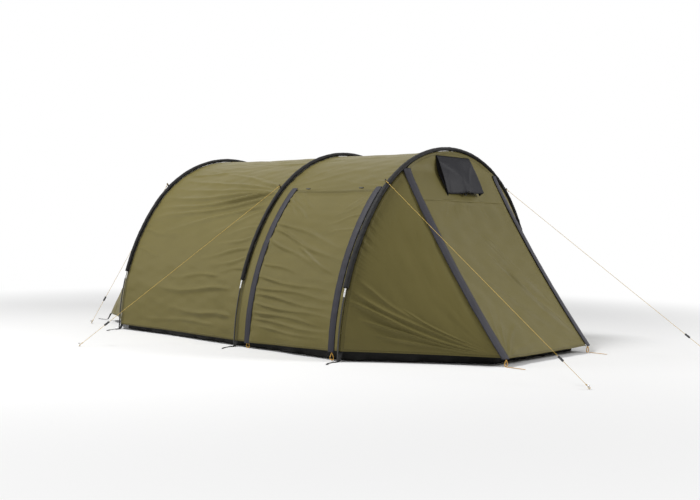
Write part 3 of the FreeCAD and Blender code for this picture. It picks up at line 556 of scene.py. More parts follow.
REAR_BAY = (HOOP_Y["middle"], HOOP_Y["rear"])
SLEEVE_SEAM = 0.010            # from a hoop to the seam of its sleeve
STRETCH_FROM = 1.45            # the girth below which the cloth reaches down to the lower hem
HEM_DROP = 0.024               # the hem hangs this much lower along the rear bay than at the front hoop


def hem_drop(y):
    """How much longer the cloth is than the girth to the hem: nothing at the front hoop, full behind the middle one."""
    return HEM_DROP * np.clip((y - HOOP_Y["front"]) / (HOOP_Y["middle"] - HOOP_Y["front"]), 0, 1)


def stretch_to_hem(p, y):
    """Moves the lowest part of a grid down, so that its last row lies on the lower hem."""
    return p + np.sign(p) * hem_drop(y) * np.clip((np.abs(p) - STRETCH_FROM) / (HEM - STRETCH_FROM), 0, 1)


def rear_sag(size, y):
    """How far the rear bay sinks between its hoops: most halfway, and less along the ridge."""
    return 0.019 * between(y, *REAR_BAY) * (0.45 + 0.55 * np.clip(size / 0.7, 0, 1))


p, q = grid((-HEM, 0, HEM), REAR_BAY, 0.0085, 0.0160)
p = stretch_to_hem(p, q)
size = np.abs(p)
sag = rear_sag(size, q)
# each crease: girth and length where it starts, girth and length where it ends, width, depth
guy_creases = [(0.70, -0.10, 0.40, 0.98, 0.020, 0.008), (0.72, -0.10, 0.56, 1.19, 0.022, 0.013),
               (0.735, -0.10, 0.68, 1.19, 0.020, 0.010), (0.75, -0.10, 0.80, 1.19, 0.026, 0.020),
               (0.77, -0.10, 0.91, 1.19, 0.028, 0.024), (0.80, -0.10, 1.00, 1.16, 0.026, 0.020),
               (0.84, -0.10, 1.10, 0.95, 0.022, 0.012), (0.71, -0.10, 0.50, 0.50, 0.015, 0.007),
               (0.76, -0.10, 0.84, 0.60, 0.014, 0.009), (0.90, -0.10, 1.10, 0.40, 0.016, 0.007),
               (0.52, 1.17, 0.44, 0.45, 0.020, 0.008), (0.36, -0.10, 0.30, 0.70, 0.018, 0.005)]
low_creases = [(1.04, -0.10, 1.10, 0.24, 0.014, 0.007), (1.12, -0.10, 1.20, 0.32, 0.015, 0.009),
               (1.20, -0.10, 1.29, 0.42, 0.016, 0.011), (1.27, -0.10, 1.35, 0.26, 0.014, 0.009),
               (1.34, -0.10, 1.39, 0.22, 0.014, 0.007), (1.40, 0.15, 1.44, 0.72, 0.020, 0.008),
               (1.50, 0.00, 1.53, 0.86, 0.026, 0.014), (1.68, -0.05, 1.66, 0.66, 0.022, 0.013),
               (1.74, 0.10, 1.75, 1.05, 0.018, 0.006), (1.10, 1.17, 1.12, 0.72, 0.026, 0.007),
               (1.24, 1.17, 1.30, 0.80, 0.020, 0.004)]
folds = 1.4 * creases(size, q, guy_creases + low_creases)
folds += gathers(size, q - REAR_BAY[0], 3, 0.0030, 0.07) + gathers(size, REAR_BAY[1] - q, 4, 0.0020)
folds += uneven(p * 1.6, q * 0.6, 5, 0.0013)
hem_wave = 0.005 * np.sin(q * 9.0 + np.sign(p)) * np.clip((size - 1.55) / 0.25, 0, 1) ** 2
height = -sag + (folds + hem_wave) * near_zero_at(q, *REAR_BAY)
edge = np.minimum.reduce([q - REAR_BAY[0] - SLEEVE_SEAM, REAR_BAY[1] - SLEEVE_SEAM - q, HEM + hem_drop(q) - size])
rear_bay = sheet("fly_rear_bay", tube_points(p, q, height), np.stack([p, q], -1), edge)
place(rear_bay, TENT, fly_cloth, "olive_fly", "rear_bay_fly")
print("rear bay:", len(rear_bay.data.polygons), "faces, deepest", round(float(height.min()), 3), "m")

# %% [markdown]
# ## The bay with the side doors
# The front bay is one cloth with an opening on each side. A door fills each opening, sewn on at its top seam
# and closed by a zip down both edges, so it can be rolled up and tied with two toggles. Each door is its own
# piece that rides on its own body.

# %% Door bay
ZIP_Y = {"rear": -0.218, "front": -0.954}
OPENING = (-0.966, -0.206)     # the opening, along the tent
DOOR_SPAN = (-0.9500, -0.2220)
DOOR_TOP = SEAM + 0.0025
FLAP_HALF = 0.025
BAY = (HOOP_Y["front"], HOOP_Y["middle"])

p, q = grid((-HEM, -SEAM, 0, SEAM, HEM), (BAY[0], *OPENING, BAY[1]), 0.0090, 0.0140)
p = stretch_to_hem(p, q)
size = np.abs(p)
beyond = np.clip(size - SEAM, 0, None)
bay_sag = 0.014 * between(q, *BAY) * (0.45 + 0.55 * np.clip(size / 0.6, 0, 1))
roof_creases = [(0.72, -0.11, 0.50, -0.62, 0.018, 0.0050), (0.70, -0.11, 0.34, -0.50, 0.018, 0.0035),
                (0.71, -1.01, 0.46, -0.60, 0.018, 0.0045), (0.72, -1.01, 0.60, -0.42, 0.016, 0.0045),
                (0.73, -0.11, 0.68, -0.75, 0.014, 0.0035), (0.30, -0.11, 0.22, -0.80, 0.022, 0.0030)]
folds = creases(size, q, roof_creases) + uneven(p * 1.6, q * 0.6, 8, 0.0012)
folds += gathers(size, BAY[1] - q, 10, 0.0020) + gathers(size, q - BAY[0], 11, 0.0022)
seam_lap = 0.0016 * np.clip(1 - np.abs(size - SEAM + 0.006) / 0.006, 0, 1) * (q > OPENING[0]) * (q < OPENING[1])
height = (folds * np.exp(-beyond / 0.05) - bay_sag * np.exp(-beyond / 0.25)) * near_zero_at(q, *BAY) + seam_lap
beside = np.where(beyond > 0, np.minimum(np.abs(q - OPENING[0]), np.abs(q - OPENING[1])), 1.0)
top_seam = np.where((q > OPENING[0]) & (q < OPENING[1]), np.abs(size - SEAM), 1.0)
edge = np.minimum.reduce([HEM + hem_drop(q) - size, BAY[1] - SLEEVE_SEAM - q, q - BAY[0] - SLEEVE_SEAM, beside,
                          top_seam])
keep = ~((middles(size) > SEAM) & (middles(q) > OPENING[0]) & (middles(q) < OPENING[1]))
bay = sheet("fly_door_bay", tube_points(p, q, height), np.stack([p, q], -1), edge, keep)
place(bay, TENT, fly_cloth, "olive_fly", "door_bay_roof")

# each door has its own creases: from its upper rear corner, from its upper front corner, and level ones below
door_creases = [(0.77, -0.23, 0.90, -0.42, 0.012, 0.007), (0.80, -0.23, 0.98, -0.48, 0.013, 0.008),
                (0.84, -0.23, 0.94, -0.36, 0.012, 0.006), (0.76, -0.30, 0.90, -0.50, 0.012, 0.006),
                (1.00, -0.23, 1.18, -0.90, 0.020, 0.012), (1.06, -0.23, 1.28, -0.94, 0.020, 0.015),
                (1.13, -0.23, 1.34, -0.80, 0.018, 0.010), (1.18, -0.50, 1.38, -0.94, 0.016, 0.010),
                (0.77, -0.94, 0.92, -0.74, 0.012, 0.007), (0.84, -0.94, 0.97, -0.70, 0.012, 0.006),
                (0.94, -0.94, 1.02, -0.66, 0.012, 0.006), (1.04, -0.94, 1.08, -0.70, 0.012, 0.006),
                (1.30, -0.23, 1.36, -0.62, 0.014, 0.007), (1.40, -0.23, 1.46, -0.90, 0.016, 0.010),
                (1.46, -0.23, 1.51, -0.92, 0.015, 0.009), (1.51, -0.23, 1.57, -0.90, 0.015, 0.011),
                (1.57, -0.23, 1.62, -0.94, 0.014, 0.009), (1.62, -0.23, 1.67, -0.90, 0.014, 0.010),
                (1.67, -0.23, 1.71, -0.94, 0.013, 0.008), (1.72, -0.30, 1.75, -0.90, 0.012, 0.007)]
for side_name, side in SIDES:
    p, q = grid((DOOR_TOP * side, (HEM + 0.004) * side), DOOR_SPAN, 0.0060, 0.0130)
    p = stretch_to_hem(p, q)
    size = np.abs(p)
    door_sag = 0.013 * between(q, *DOOR_SPAN) * np.clip(1.3 - (size - SEAM) / 0.9, 0.15, 1)
    folds = 1.25 * creases(size, q, door_creases) + uneven(p * 1.6, q * 0.6, 14 + side, 0.0013)
    folds += gathers(size, DOOR_SPAN[1] - q, 16 + side, 0.0026, 0.04)
    folds += gathers(size, q - DOOR_SPAN[0], 18 + side, 0.0024, 0.04)
    folds += 0.004 * np.sin(q * 17) * np.clip((size - 1.70) / 0.1, 0, 1)
    down = np.clip((size - DOOR_TOP) / 0.03, 0, 1)
    height = (folds - door_sag) * near_zero_at(q, *DOOR_SPAN) * down
    edge = np.minimum.reduce([HEM + 0.004 + hem_drop(q) - size, size - DOOR_TOP, q - DOOR_SPAN[0], DOOR_SPAN[1] - q])
    door = sheet(f"{side_name}_door_cloth", tube_points(p, q, height), np.stack([p, q], -1), edge, flip=side < 0)
    place(door, f"{side_name}_side_door", fly_cloth, "olive_fly", f"{side_name}_side_door")
    for zip_name, zip_y in ZIP_Y.items():
        p, q = grid(((SEAM - 0.024) * side, (HEM + 0.010) * side), (zip_y - FLAP_HALF, zip_y + FLAP_HALF), 0.0065)
        p = stretch_to_hem(p, q)
        across = (q - zip_y) / FLAP_HALF
        lift = 0.0040 - 0.0016 * np.abs(across) ** 4 + uneven(p, q, 30 + side, 0.0006, 0.05, 0.2)
        lift += 0.0020 * np.clip(1 - np.abs(across), 0, 1)
        edge = FLAP_HALF - np.abs(q - zip_y)
        flap = sheet(f"{side_name}_side_{zip_name}_zip_flap", tube_points(p, q, lift), np.stack([p, q], -1), edge,
                     flip=side < 0)
        place(flap, TENT, flap_cloth, "zip_flap", "side_door_storm_flaps")
print("door bay: 1 cloth, 2 doors, 4 flaps over the zips")

# %% [markdown]
# ## The porch
# In front of the first hoop the fly slopes down to a line on the ground, which makes a porch. The middle is
# flat: an apron under the ridge and a door below it. On each side a cone runs from the hoop to the front
# corner. A cone bends only one way, so it is cut from flat cloth without darts.

# %% Apron
PORCH_TOP_Y, CORNER_X, CORNER_Y, CORNER_Z = -1.0245, 0.473, -1.780, 0.050
GABLE_ANGLE = math.asin(CORNER_X / (CROWN_RADIUS + FLY))
GABLE_Z = CROWN_Z + (CROWN_RADIUS + FLY) * math.cos(GABLE_ANGLE)
SLOPE = (CORNER_Y - PORCH_TOP_Y) / (CORNER_Z - GABLE_Z)
SLOPE_LENGTH = math.hypot(1, SLOPE)   # cloth for each metre of height on the slope
PORCH_SAG = 0.032
BEND = 0.02                    # how softly the cloth turns from upright to sloping
APRON_Z, APRON_RUN = 0.953, 0.30   # its lower edge, and the run of its grid before the top follows the hoop
WINDOW_X, WINDOW_Z = 0.120, (1.015, 1.135)


def porch_sag(z):
    """The front sinks back between gable and ground, as cloth does that is pulled at both ends: 4 s (1 - s)."""
    return PORCH_SAG * between(z, CORNER_Z, GABLE_Z)


def porch_y(z):
    """y = top - slope * bend * ln(1 + exp((gable height - z) / bend)): upright above the gable, sloping below.
    The sag moves it back."""
    return PORCH_TOP_Y - SLOPE * BEND * np.logaddexp(0, (GABLE_Z - z) / BEND) + porch_sag(z)


fixed = WINDOW_Z[1] - APRON_Z
x, v = grid((-CORNER_X, -WINDOW_X, WINDOW_X, CORNER_X), (0, WINDOW_Z[0] - APRON_Z, fixed, APRON_RUN), 0.010)
top_z = CROWN_Z + np.sqrt((CROWN_RADIUS + FLY) ** 2 - x ** 2)
z = APRON_Z + np.where(v <= fixed, v, fixed + (top_z - WINDOW_Z[1]) * (v - fixed) / (APRON_RUN - fixed))
inside = np.clip(np.minimum(top_z - z, CORNER_X - np.abs(x)) / 0.03, 0, 1)
folds = uneven(x, z, 41, 0.0012)
apron_points = np.stack([x, porch_y(z) - folds * inside - 0.0009, z], -1)
window_gap = np.maximum(np.abs(x) - WINDOW_X, np.abs(z - sum(WINDOW_Z) / 2) - (WINDOW_Z[1] - WINDOW_Z[0]) / 2)
edge = np.minimum.reduce([top_z - z - 0.008, CORNER_X - np.abs(x), np.abs(window_gap)])
in_window = (np.abs(middles(x)) < WINDOW_X) & (middles(z) > WINDOW_Z[0]) & (middles(z) < WINDOW_Z[1])
apron = sheet("porch_apron", apron_points, np.stack([x, z], -1), edge, ~in_window, thickness=0.0007)
place(apron, TENT, fly_cloth, "olive_fly", "front_apron")

# %% Front door
DOOR_HALF, DOOR_TOP_Z = 0.4485, 0.9645
x, z = grid((-DOOR_HALF, DOOR_HALF), (CORNER_Z - 0.004, DOOR_TOP_Z), 0.0080, 0.0080)
# each crease: x and z where it starts, x and z where it ends, width, depth
front_creases = [(-0.10, 0.80, 0.44, 0.30, 0.022, 0.007), (0.02, 0.78, 0.45, 0.20, 0.018, 0.010),
                 (-0.06, 0.66, 0.45, 0.10, 0.020, 0.012), (0.05, 0.56, 0.45, 0.07, 0.018, 0.012),
                 (-0.30, 0.52, 0.44, 0.06, 0.020, 0.007), (-0.45, 0.055, -0.10, 0.26, 0.014, 0.010),
                 (-0.45, 0.055, -0.22, 0.34, 0.013, 0.007), (-0.44, 0.055, -0.05, 0.12, 0.014, 0.010),
                 (-0.45, 0.055, -0.34, 0.36, 0.012, 0.006), (0.44, 0.06, 0.12, 0.14, 0.014, 0.006),
                 (-0.20, 0.95, -0.30, 0.84, 0.010, 0.005), (-0.12, 0.95, -0.16, 0.82, 0.010, 0.004),
                 (0.02, 0.95, -0.02, 0.84, 0.010, 0.004), (0.14, 0.95, 0.20, 0.82, 0.010, 0.004)]
folds = 0.85 * creases(x, z, front_creases) + uneven(x, z, 43, 0.0015)
folds += gathers(z, x + DOOR_HALF, 45, 0.0020, 0.03) + gathers(z, DOOR_HALF - x, 46, 0.0020, 0.03)
door_sag = 0.016 * between(x, -DOOR_HALF, DOOR_HALF) * between(z, -0.10, 1.05)
height = (folds - door_sag) * near_zero_at(x, -DOOR_HALF, DOOR_HALF) * np.clip((DOOR_TOP_Z - z) / 0.03, 0, 1)
front_out = unit(np.array([0.0, -1.0, SLOPE]))
points = np.stack([x, porch_y(z), z], -1) + front_out * height[..., None]
edge = np.minimum.reduce([DOOR_HALF - np.abs(x), z - CORNER_Z + 0.004])
front_door = sheet("front_door_cloth", points, np.stack([x, z * SLOPE_LENGTH], -1), edge)
place(front_door, "front_door", fly_cloth, "olive_fly", "front_door")
print("porch slope:", round(math.degrees(math.atan(SLOPE)), 1), "degrees from upright")

# %% Porch sides and the flaps over the front zips
GABLE = float(girth(GABLE_ANGLE))
FRONT_FLAP, FRONT_FLAP_Z = (0.4495, 0.5110), (0.044, 1.150)
FRONT_ZIP_X, FRONT_ZIP_Z = 0.461, (0.056, 0.960)
# each crease: girth at the hoop and share of the way to the corner, start and end, width, depth
cone_creases = [(1.36, 0.03, 1.48, 0.70, 0.026, 0.009), (1.42, 0.0, 1.58, 0.98, 0.030, 0.014),
                (1.50, 0.0, 1.63, 0.98, 0.026, 0.020), (1.58, 0.10, 1.68, 0.98, 0.024, 0.014),
                (1.66, 0.20, 1.73, 0.98, 0.022, 0.010), (1.40, 0.35, 1.50, 0.95, 0.020, 0.008)]
for side_name, side in SIDES:
    size, t = grid((GABLE, HEM), (0.0, 0.98), 0.0060, 0.0130)
    x, z = hoop(angle_at(size), FLY)
    base = np.stack([x * side, np.full_like(x, PORCH_TOP_Y), z], -1)
    corner = np.array([CORNER_X * side, CORNER_Y, CORNER_Z])
    points = base + (corner - base) * t[..., None]
    zip_side = (size - GABLE) * (1 - t)
    points[..., 1] += porch_sag(points[..., 2]) * np.exp(-zip_side / 0.30) * np.clip(t * 8, 0, 1)
    outward = normals(points) * -side
    reach = np.linalg.norm(corner - base, axis=-1)
    away = t * reach
    narrow = np.clip((1 - t) * 3.0, 0.25, 1)
    folds = creases(size, t, cone_creases) * narrow
    folds += gathers(size * 1.5, away, 50 + side, 0.0050, 0.036) * np.clip((size - 0.6) / 0.3, 0.25, 1)
    folds += uneven(size, away, 52 + side, 0.0007, 0.12) * narrow
    folds += gathers(away, zip_side, 56 + side, 0.0020, 0.025) * narrow
    cone_sag = 0.024 * between(t, 0, 1) * np.clip(zip_side / 0.25, 0, 1)
    height = (folds - cone_sag) * np.clip(away / 0.03, 0, 1) * np.clip(zip_side / 0.012, 0, 1)
    edge = np.minimum.reduce([away - 0.010, zip_side, (HEM - size) * (1 - t)])
    uv = np.stack([size * (1 - 0.85 * t), away], -1)
    panel = sheet(f"{side_name}_porch_cloth", points + outward * height[..., None], uv, edge, flip=side > 0)
    place(panel, TENT, fly_cloth, "olive_fly", f"{side_name}_porch_panel")

    x, z = grid((FRONT_FLAP[0], CORNER_X, FRONT_FLAP[1]), FRONT_FLAP_Z, 0.0080)
    lift = 0.0066 + uneven(x, z, 60 + side, 0.0006, 0.05, 0.2) - 0.30 * np.clip(x - CORNER_X, 0, 1)
    lift += 0.0022 * between(x, *FRONT_FLAP)
    points = np.stack([x * side, porch_y(z) - lift, z], -1)
    edge = np.minimum(x - FRONT_FLAP[0], FRONT_FLAP[1] - x)
    flap = sheet(f"{side_name}_front_zip_flap", points, np.stack([x, z * SLOPE_LENGTH], -1), edge,
                 flip=side < 0)
    place(flap, TENT, flap_cloth, "zip_flap", "front_storm_flaps")
    height = np.linspace(*FRONT_ZIP_Z, 60)
    coil_path = np.stack([0 * height + FRONT_ZIP_X * side, porch_y(height) - 0.0012, height], -1)
    coil = ribbon(f"{side_name}_front_zip_coil", coil_path, 0.0060, 0.0020, (0, -1, 0))
    place(coil, TENT, zip_coil, "zip_plastic", "front_door_zips")
print("porch: 2 sides, 1 door, 1 apron, 2 flaps")

# %% [markdown]
# ## The vent
# Damp air leaves through a mesh window under the ridge. A hood of coated cloth keeps the rain out; a short
# strut pushes its lower edge away from the tent, and a gusset closes each side. The hood is one grid: its face
# in the middle, a gusset beyond each corner.

# %% Hood and mesh
HOOD_TOP = (0.178, -1.0325, 1.2500)
HOOD_STAND = 0.062             # how far the lip stands off the tent
HOOD_LIP = (0.168, float(porch_y(1.016)) - HOOD_STAND, 1.016)
HOOD_LENGTH, BEHIND_CLOTH = 0.28, 0.0035
LEFT_REST = 0.72               # how much less the lip stands out at its left end, as the cloth has slumped there
GUSSET_GAP, HOOD_BOTTOM = 0.012, 0.996
u, t = grid((-1.5, -1, 0, 1, 1.5), (0.0, 1.0), 0.030)
face = np.clip(u, -1, 1)
past = np.clip(np.abs(u) - 1, 0, 0.5) / 0.5
half = HOOD_LIP[0] + (HOOD_TOP[0] - HOOD_LIP[0]) * t
x = face * half
slump = LEFT_REST * np.clip(0.3 - face, 0, 1.3) / 1.3 * (1 - t)
y = HOOD_LIP[1] + (HOOD_TOP[1] - HOOD_LIP[1]) * t + HOOD_STAND * slump
z = HOOD_LIP[2] + (HOOD_TOP[2] - HOOD_LIP[2]) * t - 0.016 * slump
billow = 0.012 * np.sin(math.pi * np.clip(t, 0, 1)) * (1 - 0.5 * face ** 2)
diagonal = creases(face, t, [(-1.0, 0.95, 0.55, 0.0, 0.10, 0.0065), (1.0, 0.9, -0.1, 0.0, 0.09, 0.0040),
                             (-0.9, 0.0, -0.6, 0.7, 0.08, 0.0030)])
lip_dip = -0.010 * (1 - t) ** 2 * between(np.abs(face), 0.0, 1.0)
hood_out = unit(np.array([0.0, HOOD_LIP[2] - HOOD_TOP[2], HOOD_TOP[1] - HOOD_LIP[1]]))
hood_out = hood_out * -np.sign(hood_out[1])
out = billow * (1 - past) + diagonal * (1 - past) + lip_dip * (1 - past)
back_z = np.minimum(HOOD_BOTTOM + (z - HOOD_LIP[2]) * (HOOD_TOP[2] - HOOD_BOTTOM) / (HOOD_TOP[2] - HOOD_LIP[2]), z)
back_y = np.minimum(porch_y(back_z) - GUSSET_GAP * (1 - t) - BEHIND_CLOTH, porch_y(back_z) - BEHIND_CLOTH)
face_points = np.stack([x, y, z], -1) + hood_out * out[..., None]
back_points = np.stack([x, np.maximum(back_y, face_points[..., 1]), back_z], -1)
points = face_points * (1 - past[..., None]) + back_points * past[..., None]
points[..., 0] -= np.sign(u) * 0.006 * np.sin(math.pi * past) * (1 - t)
uv = np.stack([face * HOOD_TOP[0] + np.sign(u) * past * 0.06, t * HOOD_LENGTH], -1)
hood = sheet("hood_cloth", points, uv, np.minimum(t, 1 - t) * HOOD_LENGTH + 0.0 * u)
place(hood, "vent_hood", hood_cloth, "vent_fabric", "vent_hood")

x, z = grid((-0.128, 0.128), (1.008, 1.142), 0.016)
mesh = sheet("vent_mesh_cloth", np.stack([x, porch_y(z) + 0.0045, z], -1), np.stack([x, z], -1), np.ones_like(x),
             thickness=0.0005)
place(mesh, TENT, mesh_cloth, "mesh", "vent_mesh")
print("hood's lip stands", round(float(porch_y(1.016)) - HOOD_LIP[1], 3), "m off the tent")

# %% [markdown]
# ## The rear end
# Behind the last hoop the fly slopes down to a shorter line on the ground. Under the crown it is a ruled
# surface from the hoop to that line, and at each side it is again a cone.

# %% Rear panel
REAR_TOP_Y, REAR_HEM_Y, REAR_X = 1.1835, 1.730, 0.770
CROWN_END = float(girth(CROWN_ANGLE))


def end_surface(p, t, top_y, hem_y, corner_x, hem_z, offset):
    """Points along straight lines from the hoop to a line on the ground, or to its corner beyond the crown."""
    x, z = hoop(angle_at(p), offset)
    top = np.stack([x, np.full_like(x, top_y), z], -1)
    low = np.stack([corner_x * np.clip(p / CROWN_END, -1, 1), np.full_like(x, hem_y), np.full_like(x, hem_z)], -1)
    return top + (low - top) * t[..., None]


p, t = grid((-HEM, -CROWN_END, 0, CROWN_END, HEM), (0.0, 1.0), 0.0125)
size = np.abs(p)
t = t * (1 - 0.02 * np.clip((size - CROWN_END) / 0.08, 0, 1))
points = end_surface(p, t, REAR_TOP_Y, REAR_HEM_Y, REAR_X, HEM_Z, FLY)
outward = normals(points)
narrow = np.where(size > CROWN_END, np.clip((1 - t) * 3, 0.2, 1), 1.0)
folds = creases(size, t, [(0.70, 0, 0.80, 0.98, 0.030, 0.0080), (0.90, 0, 0.95, 0.98, 0.034, 0.0080),
                          (1.15, 0, 1.20, 0.98, 0.034, 0.0080), (1.45, 0, 1.48, 0.98, 0.034, 0.0070),
                          (0.30, 0, 0.52, 0.98, 0.024, 0.0050)])
folds += gathers(p, t * 1.2, 70, 0.0026, 0.07) + uneven(p, t * 1.2, 71, 0.0018)
end_sag = 0.022 * between(t, 0, 1)
fade = np.clip(t / 0.03, 0, 1) * narrow
points = points + outward * ((folds - end_sag) * fade)[..., None]
edge = np.minimum(t * 1.2 - 0.008, np.where(size < CROWN_END, (1 - t) * 1.3, 1.0))
edge = np.minimum(edge, np.where(size > CROWN_END, (HEM - size) * (1 - t), 1.0))
rear = sheet("rear_end_cloth", points, np.stack([p * (1 - 0.5 * t), t * 1.25], -1), edge)
place(rear, TENT, fly_cloth, "olive_fly", "rear_panel")
print("rear end:", len(rear.data.polygons), "faces")

# %% [markdown]
# ## Skirt and groundsheet
# Under the fly's hem hangs a skirt of black sheeting. It keeps wind and mud out, and it is longer than the gap,
# so its lower part lies on the ground and wrinkles. The porch floor is a loose flat sheet.

# %% Skirt
# corners of the skirt's path from the left side round the porch to the right side: where it is sewn to the hem,
# and where its lower edge lies
SKIRT_TOP = np.array([[-1.002, 1.150], [-1.002, -1.000], [-0.440, -1.690], [0.440, -1.690], [1.002, -1.000],
                      [1.002, 1.150]])
SKIRT_LOW = np.array([[-0.950, 1.120], [-0.950, -0.980], [-0.420, -1.530], [0.420, -1.530], [0.950, -0.980],
                      [0.950, 1.120]])
SKIRT_TOP_Z, SKIRT_REST_Z = 0.062, 0.0024
SKIRT_LEGS = np.concatenate([[0], np.cumsum(np.linalg.norm(np.diff(SKIRT_TOP, axis=0), axis=1))])
SKIRT_WIDTH, HANGING = 0.14, 0.45   # from hem to lower edge, and the share of it that hangs


def along_path(corners, at):
    """Points on a path of straight legs, at these distances along the hem."""
    return np.stack([np.interp(at, SKIRT_LEGS, corners[:, 0]), np.interp(at, SKIRT_LEGS, corners[:, 1])], -1)


# fine steps along the hem, and every sixteenth of them across, which ends just short of the lower edge
share, v = np.meshgrid(stops((0, 1), 0.0021), stops((0.0, 1.0), 0.0021)[::16], indexing="ij")
at = share * SKIRT_LEGS[-1]
upper, lower = along_path(SKIRT_TOP, at), along_path(SKIRT_LOW, at)
hang = np.clip(v / HANGING, 0, 1)                    # from the hem down to the ground
lie = np.clip((v - HANGING) / (1 - HANGING), 0, 1)   # and from there along it
flat = upper + (lower - upper) * (0.10 * hang + 0.90 * lie)[..., None]
wave = np.sin(at * 23) + 0.7 * np.sin(at * 37 + 1.0) + 0.5 * np.sin(at * 61 + 2.0)
heading = unit(upper - lower)
flat = flat + heading * (0.0055 * wave * hang * (1 - lie) ** 0.5 + 0.012 * np.sin(at * 11) * lie)[..., None]
z = SKIRT_TOP_Z * (1 - hang) + SKIRT_REST_Z + 0.0035 * lie * (1 + np.sin(at * 29 + 3 * v))
skirt = sheet("skirt_cloth", np.concatenate([flat, z[..., None]], -1), np.stack([at, v * SKIRT_WIDTH], -1),
              np.minimum(v, 1 - v) * SKIRT_WIDTH, flip=True)
place(skirt, TENT, skirt_cloth, "skirt", "mud_skirt")
print("skirt:", round(float(at.max()), 2), "m along the hem")

# %% Porch groundsheet
FLOOR_Y, FLOOR_HALF = (-1.500, -1.010, -0.095), (0.440, 0.930, 0.945)
x_share, y = grid((-1, 0, 1), FLOOR_Y, 0.030)
half = np.interp(y, FLOOR_Y, FLOOR_HALF)
x = x_share * half
z = 0.0030 + 0.0008 * np.clip(uneven(x, y, 80, 1.0), -1.6, 1.6)
floor_sheet = sheet("porch_floor_cloth", np.stack([x, y, z], -1), np.stack([x, y], -1),
                    np.minimum((1 - np.abs(x_share)) * half, np.minimum(y - FLOOR_Y[0], FLOOR_Y[2] - y)))
place(floor_sheet, TENT, floor_cloth, "skirt", "porch_groundsheet")
print("groundsheet 1.89 x 1.405 m")

# %% [markdown]
# ## The inner cabin
# You sleep in a cabin of thin breathable cloth with a tub of waterproof sheeting under it. Short elastics hang
# it from the fly, so air can move between the two. Its front has a door that swings into the porch.

# %% Cabin
INNER, TUB_Z, CABIN_Y = -0.118, 0.110, (-0.030, 1.159)
INNER_HEM = float(girth(math.acos(TUB_Z / (HAUNCH_RADIUS + INNER))))
INNER_CORNER, INNER_REAR_Y = 0.700, 1.640
DOORWAY_HALF, DOORWAY_TOP = 0.400, 0.880
DOORWAY_SHARE = 0.43           # the doorway's share of the front wall's grid
CABIN_DOOR_HALF, CABIN_DOOR_Z = 0.396, (0.126, 0.876)
HANGER_YS, HANGER_ANGLES = (0.020, 0.600, 1.120), (-60, -30, 0, 30, 60)
p, q = grid((-INNER_HEM, 0, INNER_HEM), CABIN_Y, 0.030)
hang_sag = 0.012 * between(q, 0.02, 0.60) * (q < 0.6) + 0.012 * between(q, 0.60, 1.12) * (q > 0.6)
x, z = hoop(angle_at(p), INNER - hang_sag - 0.0015 + uneven(p, q, 90, 0.0008))
cabin = sheet("cabin_tube", np.stack([x, q, z], -1), np.stack([p, q], -1), np.minimum(INNER_HEM - np.abs(p), 1.0))
place(cabin, TENT, cabin_cloth, "inner_fabric", "inner_cabin")

u, v = grid((-1, -DOORWAY_SHARE, DOORWAY_SHARE, 1), (TUB_Z, DOORWAY_TOP, 1.18), 0.030)
arch_angle = np.linspace(-INNER_HEM, INNER_HEM, 400)
arch_x, arch_z = hoop(angle_at(arch_angle), INNER - 0.004)
half_at = np.interp(v, arch_z[200:][::-1], arch_x[200:][::-1])
half_at = np.maximum(half_at, 0.004)
doorway = np.minimum(DOORWAY_HALF, half_at * 0.96)
beyond = doorway + (half_at - doorway) * (np.abs(u) - DOORWAY_SHARE) / 0.57
x = np.where(np.abs(u) <= DOORWAY_SHARE, u / DOORWAY_SHARE * doorway, np.sign(u) * beyond)
keep = ~((np.abs(middles(u)) < DOORWAY_SHARE) & (middles(v) < DOORWAY_TOP))
points = np.stack([x, CABIN_Y[0] - 0.0005 + 0 * x, v], -1)
front_wall = sheet("cabin_front_wall", points, np.stack([x, v], -1),
                   np.minimum(np.abs(np.abs(u) - DOORWAY_SHARE), 0.4) * 0.9 + np.clip(v - DOORWAY_TOP, 0, 1), keep)
place(front_wall, TENT, cabin_cloth, "inner_fabric", "inner_cabin")

p, t = grid((-INNER_HEM, -CROWN_END, 0, CROWN_END, INNER_HEM), (0.0, 1.0), 0.030)
t = t * (1 - 0.02 * np.clip((np.abs(p) - CROWN_END) / 0.08, 0, 1))
points = end_surface(p, t, 1.162, INNER_REAR_Y, INNER_CORNER, TUB_Z, INNER)
points = points + normals(points) * (uneven(p, t, 92, 0.0015) - 0.012 * between(t, 0, 1))[..., None]
rear_wall = sheet("cabin_rear_wall", points, np.stack([p, t * 1.2], -1), np.ones_like(p))
place(rear_wall, TENT, cabin_cloth, "inner_fabric", "inner_rear_wall")

x, z = grid((-CABIN_DOOR_HALF, CABIN_DOOR_HALF), CABIN_DOOR_Z, 0.030)
inner_door = sheet("cabin_door_cloth", np.stack([x, -0.0325 + uneven(x, z, 94, 0.0006), z], -1),
                   np.stack([x, z], -1), np.minimum(CABIN_DOOR_HALF - np.abs(x),
                                                          np.minimum(z - CABIN_DOOR_Z[0], CABIN_DOOR_Z[1] - z)))
place(inner_door, "inner_door", cabin_cloth, "inner_fabric", "inner_door")

